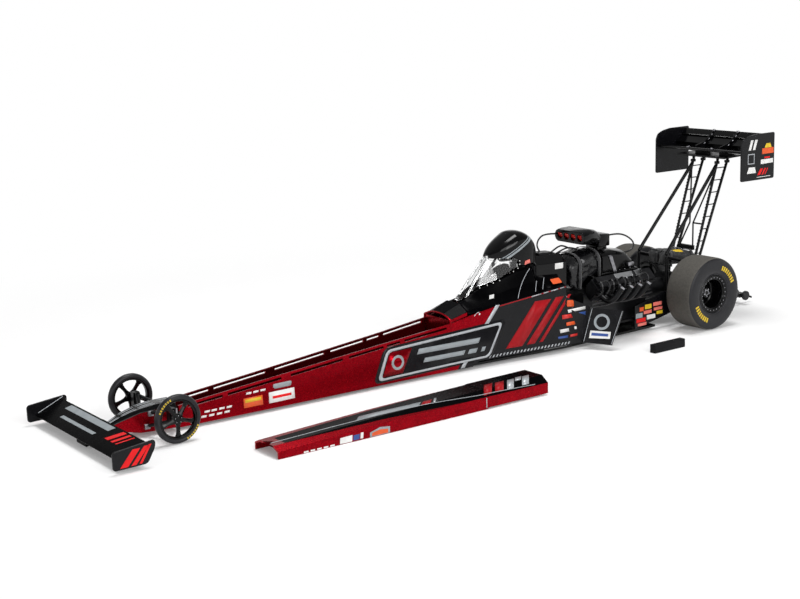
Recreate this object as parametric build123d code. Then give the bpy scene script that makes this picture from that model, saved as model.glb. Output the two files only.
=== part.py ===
# Long rail drag racing car at 1:24, with its nose cowl lifted off and laid beside it.
# Frame: +X to the nose, +Y to the car's left, +Z up, in millimetres.
# Origin: the floor point under the middle of the rear axle.
import os

from build123d import *

os.makedirs("parts", exist_ok=True)

# Running gear
wheelbase = 317.5
rear_tyre_radius = 19.7
rear_tyre_width = 18.0
rear_track_outer = 34.7      # centre line to a rear tyre's outer face
rear_rim_radius = 10.2
rear_recess_radius = 7.6
rear_rim_set_in = 0.9        # the rim's lip behind the tyre's outer face
rear_hub_radius = 3.2
front_tyre_radius = 10.7
front_tyre_width = 3.2
front_track_outer = 24.3
front_rim_radius = 8.7
front_rim_ring = 1.0
front_rim_width = 2.6
spoke_count = 5
spoke_foot = 1.6             # a spoke's width at the hub
spoke_width = 2.3            # and at the rim
spoke_thickness = 1.0
front_hub_radius = 2.2
shaft_radius = 1.6
spindle_radius = 0.8
running_gap = 0.06           # radial clearance of a shaft in its hole

# Body
skin = 0.9                   # thickness of the body's panels
panel_gap = 0.15             # between panels that meet
nose_tip_ahead = 22.5        # of the front axle
nose_rear_behind = 8.5       # of the front axle
trough_gap = 0.5             # between the nose cone and the side panels
nose_tip_x = wheelbase + nose_tip_ahead
nose_rear_x = wheelbase - nose_rear_behind
trough_front_x = nose_rear_x - trough_gap
trough_rear_x = 162.6
belly_bottom_z = 1.5
belly_thickness = 1.2
belly_rear_x = 22.0
belly_rear_half = 12.0
side_raise_x = 146.0         # behind this line the side panels stop short of the belly pan
side_raise_z = 3.7
side_tail_x = 91.3
side_tail_z = 28.7
side_rear_high = (74.6, 21.4)  # x, z of the rear edge's upper end
side_rear_low = (80.7, 3.7)
slot_height = 1.1
slot_below_edge = 1.6
sill_height = 1.8            # the crease along the foot of the side
sill_dip = 0.22              # how far it lies in from the straight side
display_hole_radius = 1.1
display_hole_x = 205.0

# Cockpit
capsule_half_width = 9.8
capsule_front_x = 162.0
capsule_rear_x = 106.0       # where the fairing behind the driver begins
capsule_floor_z = 5.0
capsule_skin = 0.8
hood_rear_x = 151.8
pillar_radius = 0.5
glass_thickness = 0.5
fairing_rear_x = 84.5

# Engine
engine_front_x = 70.0
engine_rear_x = 24.0
engine_half_width = 6.4
engine_floor_z = 6.0
deck_z = 26.0                # top of the block, foot of the blower
head_length = 42.0
head_centre = (9.6, 28.0)    # y, z
head_size = (7.5, 9.0)       # across the bank, up the bank
head_tilt = 45.0
cover_size = (6.4, 2.2)      # a valve cover, across and up the bank
blower_front_x = 58.0
blower_base_z = 34.3         # overhang above the heads
pipe_radius = 1.5
pipe_front_x = 66.5
pipe_pitch = 6.4
pipe_count = 4
hat_hole_radius = 1.9
hat_hole_z = 56.0
hat_hole_pitch = 5.0
line_radius = 0.45

# Rear frame, wing and struts
frame_half_width = 10.6
frame_tube = 1.0
wing_half_span = 31.9
wing_plate_thickness = 0.9
strut_y = 8.8
strut_radius = 0.75
diagonal_radius = 0.95
brace_radius = 0.45
brace_ring = (-18.7, 52.9)   # x, z
brace_ring_radius = 2.3
wing_plate_front_x = -22.5
wing_plate_rear_x = -49.4
wing_plate_bottom_z = 77.9
wing_plate_top_z = 103.2
plank_bottom_z = 89.2

# Front wing
front_wing_half_span = 44.6
front_plate_thickness = 0.9
front_wing_front_ahead = 13.7  # of the nose tip
front_wing_rear_ahead = 0.9
front_wing_front_z = 4.6
front_wing_rear_z = 10.1
front_wing_thickness = 0.9

# Wheelie bar
bar_end_x = -61.0
bar_end_z = 5.4
bar_wheel_radius = 2.7
bar_axle_radius = 0.6

# Cowl laid on the floor beside the car
cowl_middle_y = 60.4
cowl_skin = 0.8
cowl_step_x = 188.0
cowl_notch_depth = 3.4
cowl_notch_half = 2.6


def rod(start, end, radius):
    a, b = Vector(*start), Vector(*end)
    return Solid.make_cylinder(radius, (b - a).length, Plane(a, z_dir=b - a))


def bent_rod(points, radius):
    """Round bar through a row of points, with a ball at each bend."""
    shape = rod(points[0], points[1], radius)
    for a, b in zip(points[1:], points[2:]):
        shape += Pos(*a) * Sphere(radius)
        shape += rod(a, b, radius)
    return shape


def wall(points, y_low, y_high):
    """A flat wall: an outline of x, z points, from y_low to y_high."""
    outline = Polyline(*[(x, y_low, z) for x, z in points], close=True)
    return extrude(make_face(outline), amount=y_high - y_low, dir=(0, 1, 0))


def slab(points, z_low, z_high):
    """A flat slab: an outline of x, y points, from z_low to z_high."""
    outline = Polyline(*[(x, y, z_low) for x, y in points], close=True)
    return extrude(make_face(outline), amount=z_high - z_low, dir=(0, 0, 1))


def plate(corners, thick):
    """A flat plate: its face's corners in one plane, thickened along their normal."""
    face = make_face(Polyline(*corners, close=True))
    a, b, d = Vector(*corners[0]), Vector(*corners[1]), Vector(*corners[-1])
    return extrude(face, amount=thick, dir=(b - a).cross(d - a).normalized())


def section(x, points):
    return make_face(Polyline(*[(x, y, z) for y, z in points], close=True))


def ruled(sections):
    return loft([section(x, points) for x, points in sections], ruled=True)


def lathe(points, x, y, z):
    """A ring turned about the Y axis: radius, y points, centred on x, y, z."""
    outline = Polyline(*[(r, 0, h) for r, h in points], close=True)
    turned = revolve(make_face(outline), Axis.Z, 360)
    return Pos(x, y, z) * Rot(-90, 0, 0) * turned


def other_side(shape):
    return mirror(shape, about=Plane.XZ)


def both_sides(half):
    """A closed outline from the half of it on the car's left."""
    return half + [(x, -y) for x, y in reversed(half)]


def level(x, table):
    """Straight-line value at x from a table of x, value pairs in falling x."""
    for (x1, v1), (x2, v2) in zip(table, table[1:]):
        if x2 <= x <= x1:
            return v1 + (v2 - v1) * (x1 - x) / (x1 - x2)
    return table[0][1] if x > table[0][0] else table[-1][1]


nodes = {}

# Rear tyres, rims and the shaft that carries both: radius, distance from the inner face
rear_inner_y = rear_track_outer - rear_tyre_width
shoulder = [
    (rear_rim_radius, 0.9), (rear_rim_radius + 2.4, 0.1), (rear_tyre_radius - 2.7, 0.0),
    (rear_tyre_radius - 0.8, 0.4), (rear_tyre_radius - 0.15, 1.2), (rear_tyre_radius, 2.6),
]
tyre_profile = shoulder + [(r, rear_tyre_width - h) for r, h in reversed(shoulder)]
rear_tyre = lathe(tyre_profile, 0, rear_inner_y, rear_tyre_radius)
rim_face = rear_tyre_width - rear_rim_set_in
rear_rim = lathe(
    [
        (shaft_radius, 6.2), (shaft_radius, 11.0), (rear_hub_radius, 11.0), (rear_hub_radius + 0.3, 9.2),
        (rear_recess_radius, 8.6), (rear_recess_radius, rim_face - 0.8), (rear_rim_radius, rim_face),
        (rear_rim_radius, rear_rim_set_in), (rear_rim_radius - 1.6, rear_rim_set_in),
        (rear_recess_radius, 6.6), (rear_hub_radius + 0.3, 7.4), (rear_hub_radius, 6.2),
    ],
    0, rear_inner_y, rear_tyre_radius,
)
shaft_half = rear_inner_y + 12.2
nodes["rear_left_tyre"] = rear_tyre
nodes["rear_right_tyre"] = other_side(rear_tyre)
nodes["rear_left_rim"] = rear_rim
nodes["rear_right_rim"] = other_side(rear_rim)
nodes["rear_shaft"] = rod((0, -shaft_half, rear_tyre_radius), (0, shaft_half, rear_tyre_radius), shaft_radius)

# Front tyres: radius, distance from the inner face
front_inner_y = front_track_outer - front_tyre_width
front_shoulder = [(front_rim_radius, 0.3), (9.6, 0.0), (10.2, 0.35), (front_tyre_radius, 1.1)]
front_tyre = lathe(
    front_shoulder + [(r, front_tyre_width - h) for r, h in reversed(front_shoulder)],
    wheelbase, front_inner_y, front_tyre_radius,
)


# Front rims with open spokes
def front_rim():
    barrel = Cylinder(front_rim_radius, front_rim_width)
    barrel -= Cylinder(front_rim_radius - front_rim_ring, front_rim_width)
    wheel = barrel + Cylinder(front_hub_radius, front_rim_width)
    reach = front_rim_radius - front_rim_ring / 2
    foot, tip = spoke_foot / 2, spoke_width / 2
    for n in range(spoke_count):
        blade = make_face(Polyline((0, -foot), (reach, -tip), (reach, tip), (0, foot), close=True))
        wheel += Rot(0, 0, 90 + n * 360 / spoke_count) * extrude(blade, amount=spoke_thickness / 2, both=True)
    cap = 0.5                # the hub is closed on the outside
    return wheel - Pos(0, 0, -cap) * Cylinder(spindle_radius + running_gap, front_rim_width)


front_centre_y = front_inner_y + front_tyre_width / 2
front_rim_left = Pos(wheelbase, front_centre_y, front_tyre_radius) * Rot(-90, 0, 0) * front_rim()
nodes["front_left_tyre"] = front_tyre
nodes["front_right_tyre"] = other_side(front_tyre)
nodes["front_left_rim"] = front_rim_left
nodes["front_right_rim"] = other_side(front_rim_left)

# Front knuckles with their spindles, and the arms that hold them
knuckle_y = 17.4
knuckle_size = (3.0, 2.6, 7.0)
spindle_end_y = front_centre_y + 0.6
knuckle = Pos(wheelbase, knuckle_y, front_tyre_radius) * Box(*knuckle_size)
knuckle += rod(
    (wheelbase, knuckle_y, front_tyre_radius), (wheelbase, spindle_end_y, front_tyre_radius), spindle_radius
)
nodes["front_left_knuckle"] = knuckle
nodes["front_right_knuckle"] = other_side(knuckle)
arm_radius = 0.75
arm_out_y = knuckle_y - knuckle_size[1] / 2 - 0.8
arm_feet = [              # x ahead of the axle, y, z at the nose; z at the post
    (6.0, 5.0, 4.6, 8.0),
    (-8.0, 5.6, 4.6, 8.0),
    (4.0, 5.0, 10.0, 13.2),
    (-7.0, 5.4, 9.0, 13.2),
]
post = Pos(wheelbase, arm_out_y, front_tyre_radius) * Box(2.0, 1.6, 7.0)
front_arms = post
for x, y, z, top in arm_feet:
    front_arms += rod((wheelbase + x, y, z), (wheelbase, arm_out_y, top), arm_radius)
nodes["front_left_arms"] = front_arms
nodes["front_right_arms"] = other_side(front_arms)

# Nose cone: x, half width, underside z, shoulder z, crown z
nose_table = [
    (nose_tip_x, 2.2, 5.0, 6.6, 7.6),
    (wheelbase + 16.5, 3.6, 3.6, 8.6, 10.2),
    (wheelbase + 8.5, 4.6, 1.9, 10.8, 12.4),
    (wheelbase - 0.5, 5.4, 1.5, 11.4, 13.4),
    (nose_rear_x, 6.2, 1.5, 9.6, 13.0),
]
nose_flat = 0.62             # the flat crown's share of the width


def arch(w, base, shoulder_z, crown, flat=0.45):
    """Outline of a hood across the car: upright sides, sloped shoulders, flat crown."""
    half = [(w, base), (w, shoulder_z), (flat * w, crown)]
    return half + [(-y, z) for y, z in reversed(half)]


nose = ruled([(x, arch(*across, nose_flat)) for x, *across in nose_table])
nodes["nose_cone"] = nose - front_arms - other_side(front_arms)



def along_trough(share):
    """x of a place in the trough, from 0 at its front to 1 at its rear."""
    return trough_front_x + (trough_rear_x - trough_front_x) * share


# Side panels: x, half width at the top and bottom, top z, bottom z, upper crease below the top, its bulge
side_table = [
    (trough_front_x, 6.2, 7.0, 11.2, belly_bottom_z, 2.0, 0.1),
    (along_trough(0.3735), 7.2, 8.8, 16.2, belly_bottom_z, 2.6, 0.3),
    (along_trough(0.7985), 8.9, 10.2, 22.0, belly_bottom_z, 3.5, 0.35),
    (trough_rear_x, 10.6, 11.3, 24.9, belly_bottom_z, 3.5, 0.35),
    (side_raise_x + 4, 11.5, 12.2, 27.4, belly_bottom_z, 3.5, 0.2),
    (side_raise_x, 11.7, 12.4, 28.1, side_raise_z, 3.5, 0.15),
    (132.0, 12.5, 13.4, 30.2, side_raise_z, 3.5, 0.0),
    (side_tail_x, 16.4, 17.8, 34.8, side_raise_z, 3.5, 0.0),
]
tail_low_y, tail_high_y = 17.8, 16.9


def walled(outer):
    """Closes a row of y, z points with the same row set in by the skin."""
    return outer + [(y - skin, z) for y, z in reversed(outer)]


def side_section(x, top, bottom, high, low, crease, bulge):
    def lean(z):
        return bottom + (top - bottom) * (z - low) / (high - low)

    sill_z, crease_z = low + sill_height, high - crease
    sill, swell = (lean(sill_z) - sill_dip, sill_z), (lean(crease_z) + bulge, crease_z)
    return (x, walled([(bottom, low), sill, swell, (top, high)]))


def side_panel():
    panel = ruled([side_section(*row) for row in side_table])
    sill_y = tail_low_y - sill_dip
    front = section(side_tail_x, walled([
        (tail_low_y, side_raise_z), (sill_y, side_raise_z + sill_height), (tail_high_y, side_tail_z),
    ]))
    (x_high, z_high), (x_low, z_low) = side_rear_high, side_rear_low
    share = sill_height / (z_high - z_low)
    edge = [
        (x_low, tail_low_y, z_low), (x_low + (x_high - x_low) * share, sill_y, z_low + sill_height),
        (x_high, tail_high_y, z_high),
    ]
    rear = make_face(Polyline(*edge, *[(x, y - skin, z) for x, y, z in reversed(edge)], close=True))
    return panel + loft([front, rear], ruled=True)


edge_z = [(row[0], row[3]) for row in side_table]
slot_ends = [             # front and rear end of each slot, as shares of the trough
    (0.031, 0.147), (0.1645, 0.353), (0.387, 0.579), (0.603, 0.737), (0.7505, 0.802), (0.819, 0.987),
]
left_side = side_panel()
for front_share, rear_share in slot_ends:
    front, rear = along_trough(front_share), along_trough(rear_share)
    a, b = level(front, edge_z) - slot_below_edge, level(rear, edge_z) - slot_below_edge
    h = slot_height / 2
    left_side -= wall([(front, a - h), (front, a + h), (rear, b + h), (rear, b - h)], 3.0, 16.0)
left_side -= front_arms
nodes["side_panel_left"] = left_side
nodes["side_panel_right"] = other_side(left_side)

# Belly pan, with the hole for the display screw
belly_half = [
    (x, bottom - skin - sill_dip - panel_gap) for x, _, bottom, *_ in side_table if x >= side_raise_x
]
belly_half += [(side_tail_x, 15.0), (belly_rear_x, belly_rear_half)]
belly = slab(both_sides(belly_half), belly_bottom_z, belly_bottom_z + belly_thickness)
belly -= Pos(display_hole_x, 0, belly_bottom_z) * Cylinder(display_hole_radius, 6)
nodes["belly_pan"] = belly


def hood(table, thick):
    """Open shell under an arch: x, half width, base z, shoulder z, crown z."""
    sections = []
    for x, w, base, shoulder_z, crown in table:
        inner = arch(w - thick, base, shoulder_z - thick * 0.6, crown - thick)
        sections.append((x, arch(w, base, shoulder_z, crown) + inner[::-1]))
    return ruled(sections)


# Hood ahead of the windscreen, with the bulkhead that closes the trough
front_hood = hood(
    [(capsule_front_x, 10.55, 25.1, 26.8, 29.2), (hood_rear_x, 11.1, 27.3, 29.3, 33.0)], skin
)
bulkhead_half = 9.3
bulkhead = slab(
    both_sides([(capsule_front_x, bulkhead_half), (capsule_front_x - skin, bulkhead_half)]),
    belly_bottom_z + belly_thickness, 26.6,
)
nodes["cockpit_hood"] = front_hood + bulkhead

# Capsule sides from the window sill out to the side panels: x, then y, z of four points across
capsule_table = [
    (hood_rear_x - 0.1, [(1.6, 33.0), (4.8, 33.0), (11.1, 29.3), (11.1, 27.3)]),
    (147.8, [(2.6, 33.4), (4.8, 33.1), (11.2, 29.6), (11.4, 28.1)]),
    (140.6, [(3.8, 38.6), (6.2, 33.0), (11.5, 30.0), (11.8, 29.15)]),
    (130.0, [(6.0, 41.1), (8.2, 34.0), (12.1, 31.1), (12.4, 30.6)]),
    (116.6, [(8.4, 46.5), (9.4, 37.0), (12.9, 32.8), (13.8, 32.2)]),
    (capsule_rear_x, [(9.8, 46.5), (10.1, 38.0), (13.6, 34.2), (14.9, 33.4)]),
    (capsule_rear_x - 0.2, [(10.7, 41.0), (10.9, 38.0), (13.6, 34.2), (14.9, 33.4)]),
    (side_tail_x + 0.2, [(10.7, 40.0), (10.9, 38.4), (14.6, 35.6), (16.2, 35.0)]),
]


def capsule_side():
    return ruled([
        (x, points + [(y - capsule_skin, z - capsule_skin * 0.4) for y, z in reversed(points)])
        for x, points in capsule_table
    ])


floor_half = 9.0
rear_wall = slab(
    both_sides([(capsule_rear_x + capsule_skin, capsule_half_width), (capsule_rear_x, capsule_half_width)]),
    capsule_floor_z, 46.0,
)
floor_front_x = hood_rear_x - 1.8
floor = slab(
    both_sides([(floor_front_x, floor_half), (capsule_rear_x, floor_half)]),
    capsule_floor_z, capsule_floor_z + skin,
)
tub = capsule_side() + other_side(capsule_side()) + rear_wall + floor
nodes["cockpit_tub"] = tub

# Seat, steering column and wheel in the tub
seat_outline = [(0, 6.0), (24, 6.0), (24, 9), (8, 12), (3, 40), (0, 40)]  # x from the seat's back, z
seat_half = 6.2
seat_back_x = capsule_rear_x + 2.0
seat = wall([(seat_back_x + x, z) for x, z in seat_outline], -seat_half, seat_half)
wheel_x, wheel_z = seat_back_x + 30.0, 26.0
grip_out, grip_up, grip_half = 1.4, 4.0, 3.6
column_radius, grip_radius = 0.8, 0.6
column = rod((wheel_x - 7.0, 0, 8.0), (wheel_x, 0, wheel_z + 1.0), column_radius)
column += bent_rod([
    (wheel_x + grip_out, -grip_half, wheel_z + grip_up), (wheel_x, -grip_half, wheel_z),
    (wheel_x, grip_half, wheel_z), (wheel_x + grip_out, grip_half, wheel_z + grip_up),
], grip_radius)
nodes["seat_and_steering"] = seat + column

# Windscreen with a ridge down its middle: x, half width, side z, ridge height
screen_table = [(150.6, 0.9, 32.9, 0.5), (147.9, 2.6, 33.75, 0.6), (131.4, 1.5, 52.2, 0.5)]


def screen_ridge(w, z, rise):
    t = glass_thickness
    return [(w, z), (w, z + t), (0, z + t + rise), (-w, z + t), (-w, z), (0, z + rise)]


nodes["windscreen"] = ruled([(x, screen_ridge(w, z, rise)) for x, w, z, rise in screen_table])

# Side windows: x, y and z of the sill, y and z of the top edge
window_table = [
    (139.4, (4.0, 39.2), (3.5, 41.4)),
    (131.2, (5.8, 41.1), (2.3, 51.2)),
    (126.0, (6.9, 42.7), (5.7, 51.3)),
    (121.3, (7.7, 45.1), (7.4, 51.4)),
    (116.8, (8.2, 46.9), (7.9, 51.7)),
]
window = ruled([
    (x, [low, high, (high[0] - glass_thickness, high[1]), (low[0] - glass_thickness, low[1])])
    for x, low, high in window_table
])
nodes["side_glass_left"] = window - tub
nodes["side_glass_right"] = other_side(nodes["side_glass_left"])

# Clear corner bars between windscreen and side windows, and the bar inside
corner_bar = rod((147.6, 3.15, 33.9), (131.0, 2.25, 52.1), pillar_radius)
inner_bar = bent_rod([(143.6, 0, 34.6), (137.2, 0, 38.4), (124.6, 0, 51.4), (121.0, 0, 58.6)], 0.8)

# Fairing behind the driver: x, half width, base z, shoulder z, crown z
fairing_table = [
    (capsule_rear_x - 0.3, capsule_half_width, capsule_floor_z, 46.4, 49.9),
    (fairing_rear_x, 9.5, capsule_floor_z, 45.6, 49.2),
]
fairing_core = ruled([(x, arch(w, base, s, crown)) for x, w, base, s, crown in fairing_table])
pad = ruled([
    (98.0, [(3.6, 49.0), (3.6, 50.9), (-3.6, 50.9), (-3.6, 49.0)]),
    (88.0, [(3.2, 49.0), (3.2, 50.4), (-3.2, 50.4), (-3.2, 49.0)]),
])
nodes["rear_fairing"] = hood(fairing_table, skin) + (pad - fairing_core)

# Canopy over the driver's head: x, half width, base z, shoulder z, crown z
canopy_table = [
    (130.7, 2.0, 52.3, 53.3, 54.1),
    (128.5, 4.2, 52.1, 53.7, 55.6),
    (125.4, 6.4, 51.9, 54.6, 58.1),
    (119.0, 8.2, 51.9, 57.0, 62.4),
    (116.2, 8.7, 52.1, 58.0, 63.6),
    (115.9, 8.75, 46.75, 58.1, 63.7),
    (112.0, 9.0, 46.75, 58.6, 64.5),
    (106.0, 8.6, 46.75, 56.4, 62.0),
    (102.5, 6.5, 46.75, 53.4, 57.0),
    (101.0, 3.5, 46.75, 50.9, 53.0),
]
canopy = hood(canopy_table, skin) - fairing_core
nodes["canopy"] = canopy
bars = corner_bar + other_side(corner_bar) + inner_bar
for neighbour in [canopy, tub, nodes["windscreen"], window, other_side(window), front_hood]:
    bars -= neighbour
nodes["screen_frame"] = Compound([bar for bar in bars.solids() if bar.volume > 1])

# Deflectors ahead of the rear tyres
deflector_corners = [(74.4, 17.2, 20.8), (65.6, 31.6, 20.2), (73.4, 31.2, 3.0), (80.36, 17.4, 3.2)]


def flat_corners(corners):
    """Moves the fourth corner into the plane of the first three."""
    a, b, c, d = [Vector(*p) for p in corners]
    n = (b - a).cross(c - a).normalized()
    d = d - n * (d - a).dot(n)
    return [tuple(a), tuple(b), tuple(c), tuple(d)]


deflector = plate(flat_corners(deflector_corners), skin) - left_side
nodes["deflector_left"] = deflector
nodes["deflector_right"] = other_side(deflector)

# Lower panels beside the engine and gearbox
lower_outline = [(39.0, 2.85), (39.0, 15.6), (17.2, 20.1), (9.0, 21.8), (9.0, 8.8), (13.9, 7.5)]
lower_panel = wall(lower_outline, 12.6, 12.6 + skin)
nodes["lower_panel_left"] = lower_panel
nodes["lower_panel_right"] = other_side(lower_panel)

# Engine block
nodes["engine_block"] = wall(
    [(engine_front_x, engine_floor_z), (engine_rear_x, engine_floor_z), (engine_rear_x, deck_z),
     (engine_front_x, deck_z)],
    -engine_half_width, engine_half_width,
)

# Cylinder heads and their valve covers, laid out to each side
head_x = (engine_front_x + engine_rear_x) / 2
head_y, head_z = head_centre
head_across, head_up = head_size
bank = Pos(head_x, head_y, head_z) * Rot(-head_tilt, 0, 0)
head = bank * Box(head_length, head_across, head_up)
head -= Pos(head_x, 0, head_z) * Box(2 * head_length, 2 * engine_half_width, 4 * head_up)
cover_across, cover_up = cover_size
cover = bank * Pos(0, 0, (head_up + cover_up) / 2) * Box(head_length - 2, cover_across, cover_up)
nodes["cylinder_head_left"] = head
nodes["cylinder_head_right"] = other_side(head)
nodes["valve_cover_left"] = cover
nodes["valve_cover_right"] = other_side(cover)

# Blower on its manifold, with the drum cover behind the strap: x, half width, crown z
blower_rear_x = 32.6
blower_table = [
    (blower_front_x, 8.6, 43.6, 47.0),
    (50.0, 8.6, 43.8, 47.2),
    (40.7, 8.2, 42.4, 45.8),
    (35.5, 7.8, 38.6, 41.8),
    (blower_rear_x, 7.4, 34.9, 35.4),
]
manifold_top_z = blower_base_z + 0.4
manifold_half = engine_half_width - 0.4
blower = ruled([(x, arch(w, blower_base_z, s, crown)) for x, w, s, crown in blower_table])
blower += wall([
    (blower_front_x, deck_z), (blower_rear_x, deck_z),
    (blower_rear_x, manifold_top_z), (blower_front_x, manifold_top_z),
], -manifold_half, manifold_half)
strap_top_x, strap_foot_x, strap_width, strap_thickness = 56.0, 48.2, 2.2, 0.8
strap = hood([
    (strap_top_x + 1.2, 9.0, blower_base_z, 43.9, 47.5), (strap_foot_x - 1.2, 9.0, blower_base_z, 44.0, 47.5),
], strap_thickness)
leaning_cut = wall([
    (strap_top_x, 50), (strap_top_x - strap_width, 50), (strap_foot_x - strap_width, 30), (strap_foot_x, 30),
], -12, 12)
nodes["blower"] = blower
nodes["blower_strap"] = (strap & leaning_cut) - blower

# Padded blanket in front of the blower: x, half width, base z, shoulder z, crown z
blanket = ruled([
    (x, arch(w, base, s, crown)) for x, w, base, s, crown in [
        (80.5, 7.2, 30.0, 39.0, 43.5),
        (76.0, 9.6, 28.0, 42.0, 47.5),
        (69.0, 10.4, 34.4, 43.6, 49.4),
        (blower_front_x + 0.05, 9.6, 34.4, 43.6, 48.6),
    ]
])
for neighbour in [head, cover, other_side(head), other_side(cover), nodes["engine_block"]]:
    blanket -= neighbour
nodes["blower_blanket"] = blanket


# Injector hat: x, half width, underside z, top z
def pill(w, low, high):
    mid, half = (low + high) / 2, (high - low) / 2
    inset, rise = 2.4, 0.4 * half
    right = [(w - inset, low), (w, mid - rise), (w, mid + rise), (w - inset, high)]
    return right + [(-y, z) for y, z in reversed(right)]


hat_table = [(73.8, 11.5, 52.7, 59.3), (66.9, 10.6, 51.8, 60.2), (58.5, 7.6, 50.4, 57.6)]
hat = ruled([(x, pill(w, low, high)) for x, w, low, high in hat_table])
hat += wall([(59.3, 49.4), (50.8, 49.4), (50.8, 55.8), (59.3, 55.8)], -6.5, 6.5)
hat += wall([(57.8, 47.3), (51.0, 47.3), (51.0, 50.0), (57.8, 50.0)], -4.5, 4.5)
throttle_x = 72.6
throttle_y = [(n - 1.5) * hat_hole_pitch for n in range(4)]
throttle_shaft = rod((throttle_x, -9.6, hat_hole_z), (throttle_x, 9.6, hat_hole_z), 0.35)
butterflies = throttle_shaft
for y in throttle_y:
    hat -= rod((throttle_x - 3.0, y, hat_hole_z), (throttle_x + 3.0, y, hat_hole_z), hat_hole_radius)
    butterflies += Pos(throttle_x, y, hat_hole_z) * Rot(0, 35, 0) * Box(0.4, 3.2, 3.2)
nodes["injector_hat"] = hat - blower - nodes["blower_strap"] - butterflies
nodes["hat_butterflies"] = butterflies

# Exhaust headers, four pipes a side: y, z of the bends and how far back each lies
pipe_path = [(0.0, 13.6, 26.6), (1.0, 19.6, 23.6), (2.6, 23.2, 25.0), (6.4, 25.6, 31.0)]


def header_pipe(n):
    x = pipe_front_x - n * pipe_pitch
    outside = bent_rod([(x - back, y, z) for back, y, z in pipe_path], pipe_radius)
    (b1, y1, z1), (b2, y2, z2) = pipe_path[-2:]
    mouth = Vector(b1 - b2, y2 - y1, z2 - z1).normalized()
    end = Vector(x - b2, y2, z2)
    hole = Solid.make_cylinder(pipe_radius - 0.4, 3.0, Plane(end - mouth * 2.5, z_dir=mouth))
    return outside - hole - head - cover


headers = Compound([header_pipe(n).solids().sort_by(SortBy.VOLUME)[-1] for n in range(pipe_count)])
nodes["headers_left"] = headers
nodes["headers_right"] = other_side(headers)


# Fuel and breather lines, held at both ends
line_points = [
    [(93.0, -2.0, 50.6), (93.4, -4.0, 52.7), (88.3, -8.0, 55.9), (81.7, -10.4, 57.4), (73.6, -10.8, 56.4)],
    [(86.0, -1.0, 49.2), (80.5, -2.0, 51.0), (75.5, -3.0, 51.0), (71.0, -3.4, 49.2)],
    [(86.0, 3.2, 49.2), (80.0, 2.6, 50.6), (75.0, 2.2, 50.4), (70.6, 2.0, 49.3)],
    [(50.9, 2.6, 54.0), (44.0, 3.0, 54.2), (36.0, 3.0, 52.4), (30.0, 3.0, 48.0), (32.0, 3.0, 44.0),
     (37.5, 3.0, 43.4)],
]
holders = [nodes["injector_hat"], nodes["blower_blanket"], nodes["blower"], nodes["rear_fairing"]]
lines = []
for points in line_points:
    tube = bent_rod(points, line_radius)
    for holder in holders:
        tube -= holder
    lines.append(tube.solids().sort_by(SortBy.VOLUME)[-1])
nodes["fuel_lines"] = Compound(lines)

# Rear axle housing and gearbox
housing_half = rear_inner_y - 1.0
housing = rod((0, -housing_half, rear_tyre_radius), (0, housing_half, rear_tyre_radius), 4.0)
housing += Pos(0, 0, rear_tyre_radius) * Cylinder(8.0, 11.0, rotation=(90, 0, 0))
bore_ends = [(0, -rear_track_outer, rear_tyre_radius), (0, rear_track_outer, rear_tyre_radius)]
housing -= rod(*bore_ends, shaft_radius + running_gap)
nodes["axle_housing"] = housing
gearbox = rod((engine_rear_x - 0.05, 0, rear_tyre_radius), (4.0, 0, rear_tyre_radius), 5.5)
nodes["gearbox"] = gearbox - Pos(0, 0, rear_tyre_radius) * Cylinder(8.0, 20.0, rotation=(90, 0, 0))

# Rear frame: joints of one side in x, z, and the tubes between them
frame_joints = {
    "front_low": (69.0, 8.0), "rear_low": (-9.0, 8.0), "mid_low": (12.0, 8.0), "mid_high": (12.0, 38.6),
    "rear_high": (-13.0, 31.0),
}
frame_tubes = [
    ("front_low", "rear_low"), ("mid_high", "rear_high"), ("rear_low", "rear_high"), ("mid_low", "mid_high"),
]
cross_tubes = ["rear_low", "rear_high", "front_low"]


def frame_point(name, y):
    x, z = frame_joints[name]
    return (x, y, z)


frame_side = Pos(*frame_point("mid_high", frame_half_width)) * Sphere(frame_tube)
for name in ["rear_low", "rear_high"]:
    frame_side += Pos(*frame_point(name, frame_half_width)) * Sphere(frame_tube)
for a, b in frame_tubes:
    frame_side += rod(frame_point(a, frame_half_width), frame_point(b, frame_half_width), frame_tube)
rear_frame = frame_side + other_side(frame_side)
for name in cross_tubes:
    rear_frame += rod(frame_point(name, -frame_half_width), frame_point(name, frame_half_width), frame_tube)
nodes["rear_frame"] = rear_frame - nodes["engine_block"] - housing

# Two parachute packs side by side
pack_outline = [
    (9.0, 32.2), (9.0, 39.8), (3.0, 40.6), (-2.0, 40.0), (-12.0, 39.0), (-15.6, 36.4), (-16.4, 32.2),
]
pack_half = 7.7
pack = wall(pack_outline, panel_gap, pack_half)
shaved = [(3.4, 41.6), (8.5, 41.6), (8.5, 35.4)]
shaved_edge = ruled([(20, shaved), (-30, shaved)])
pack = (pack - shaved_edge) - rear_frame
nodes["parachute_packs"] = Compound([pack.solid(), other_side(pack).solid()])

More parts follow.
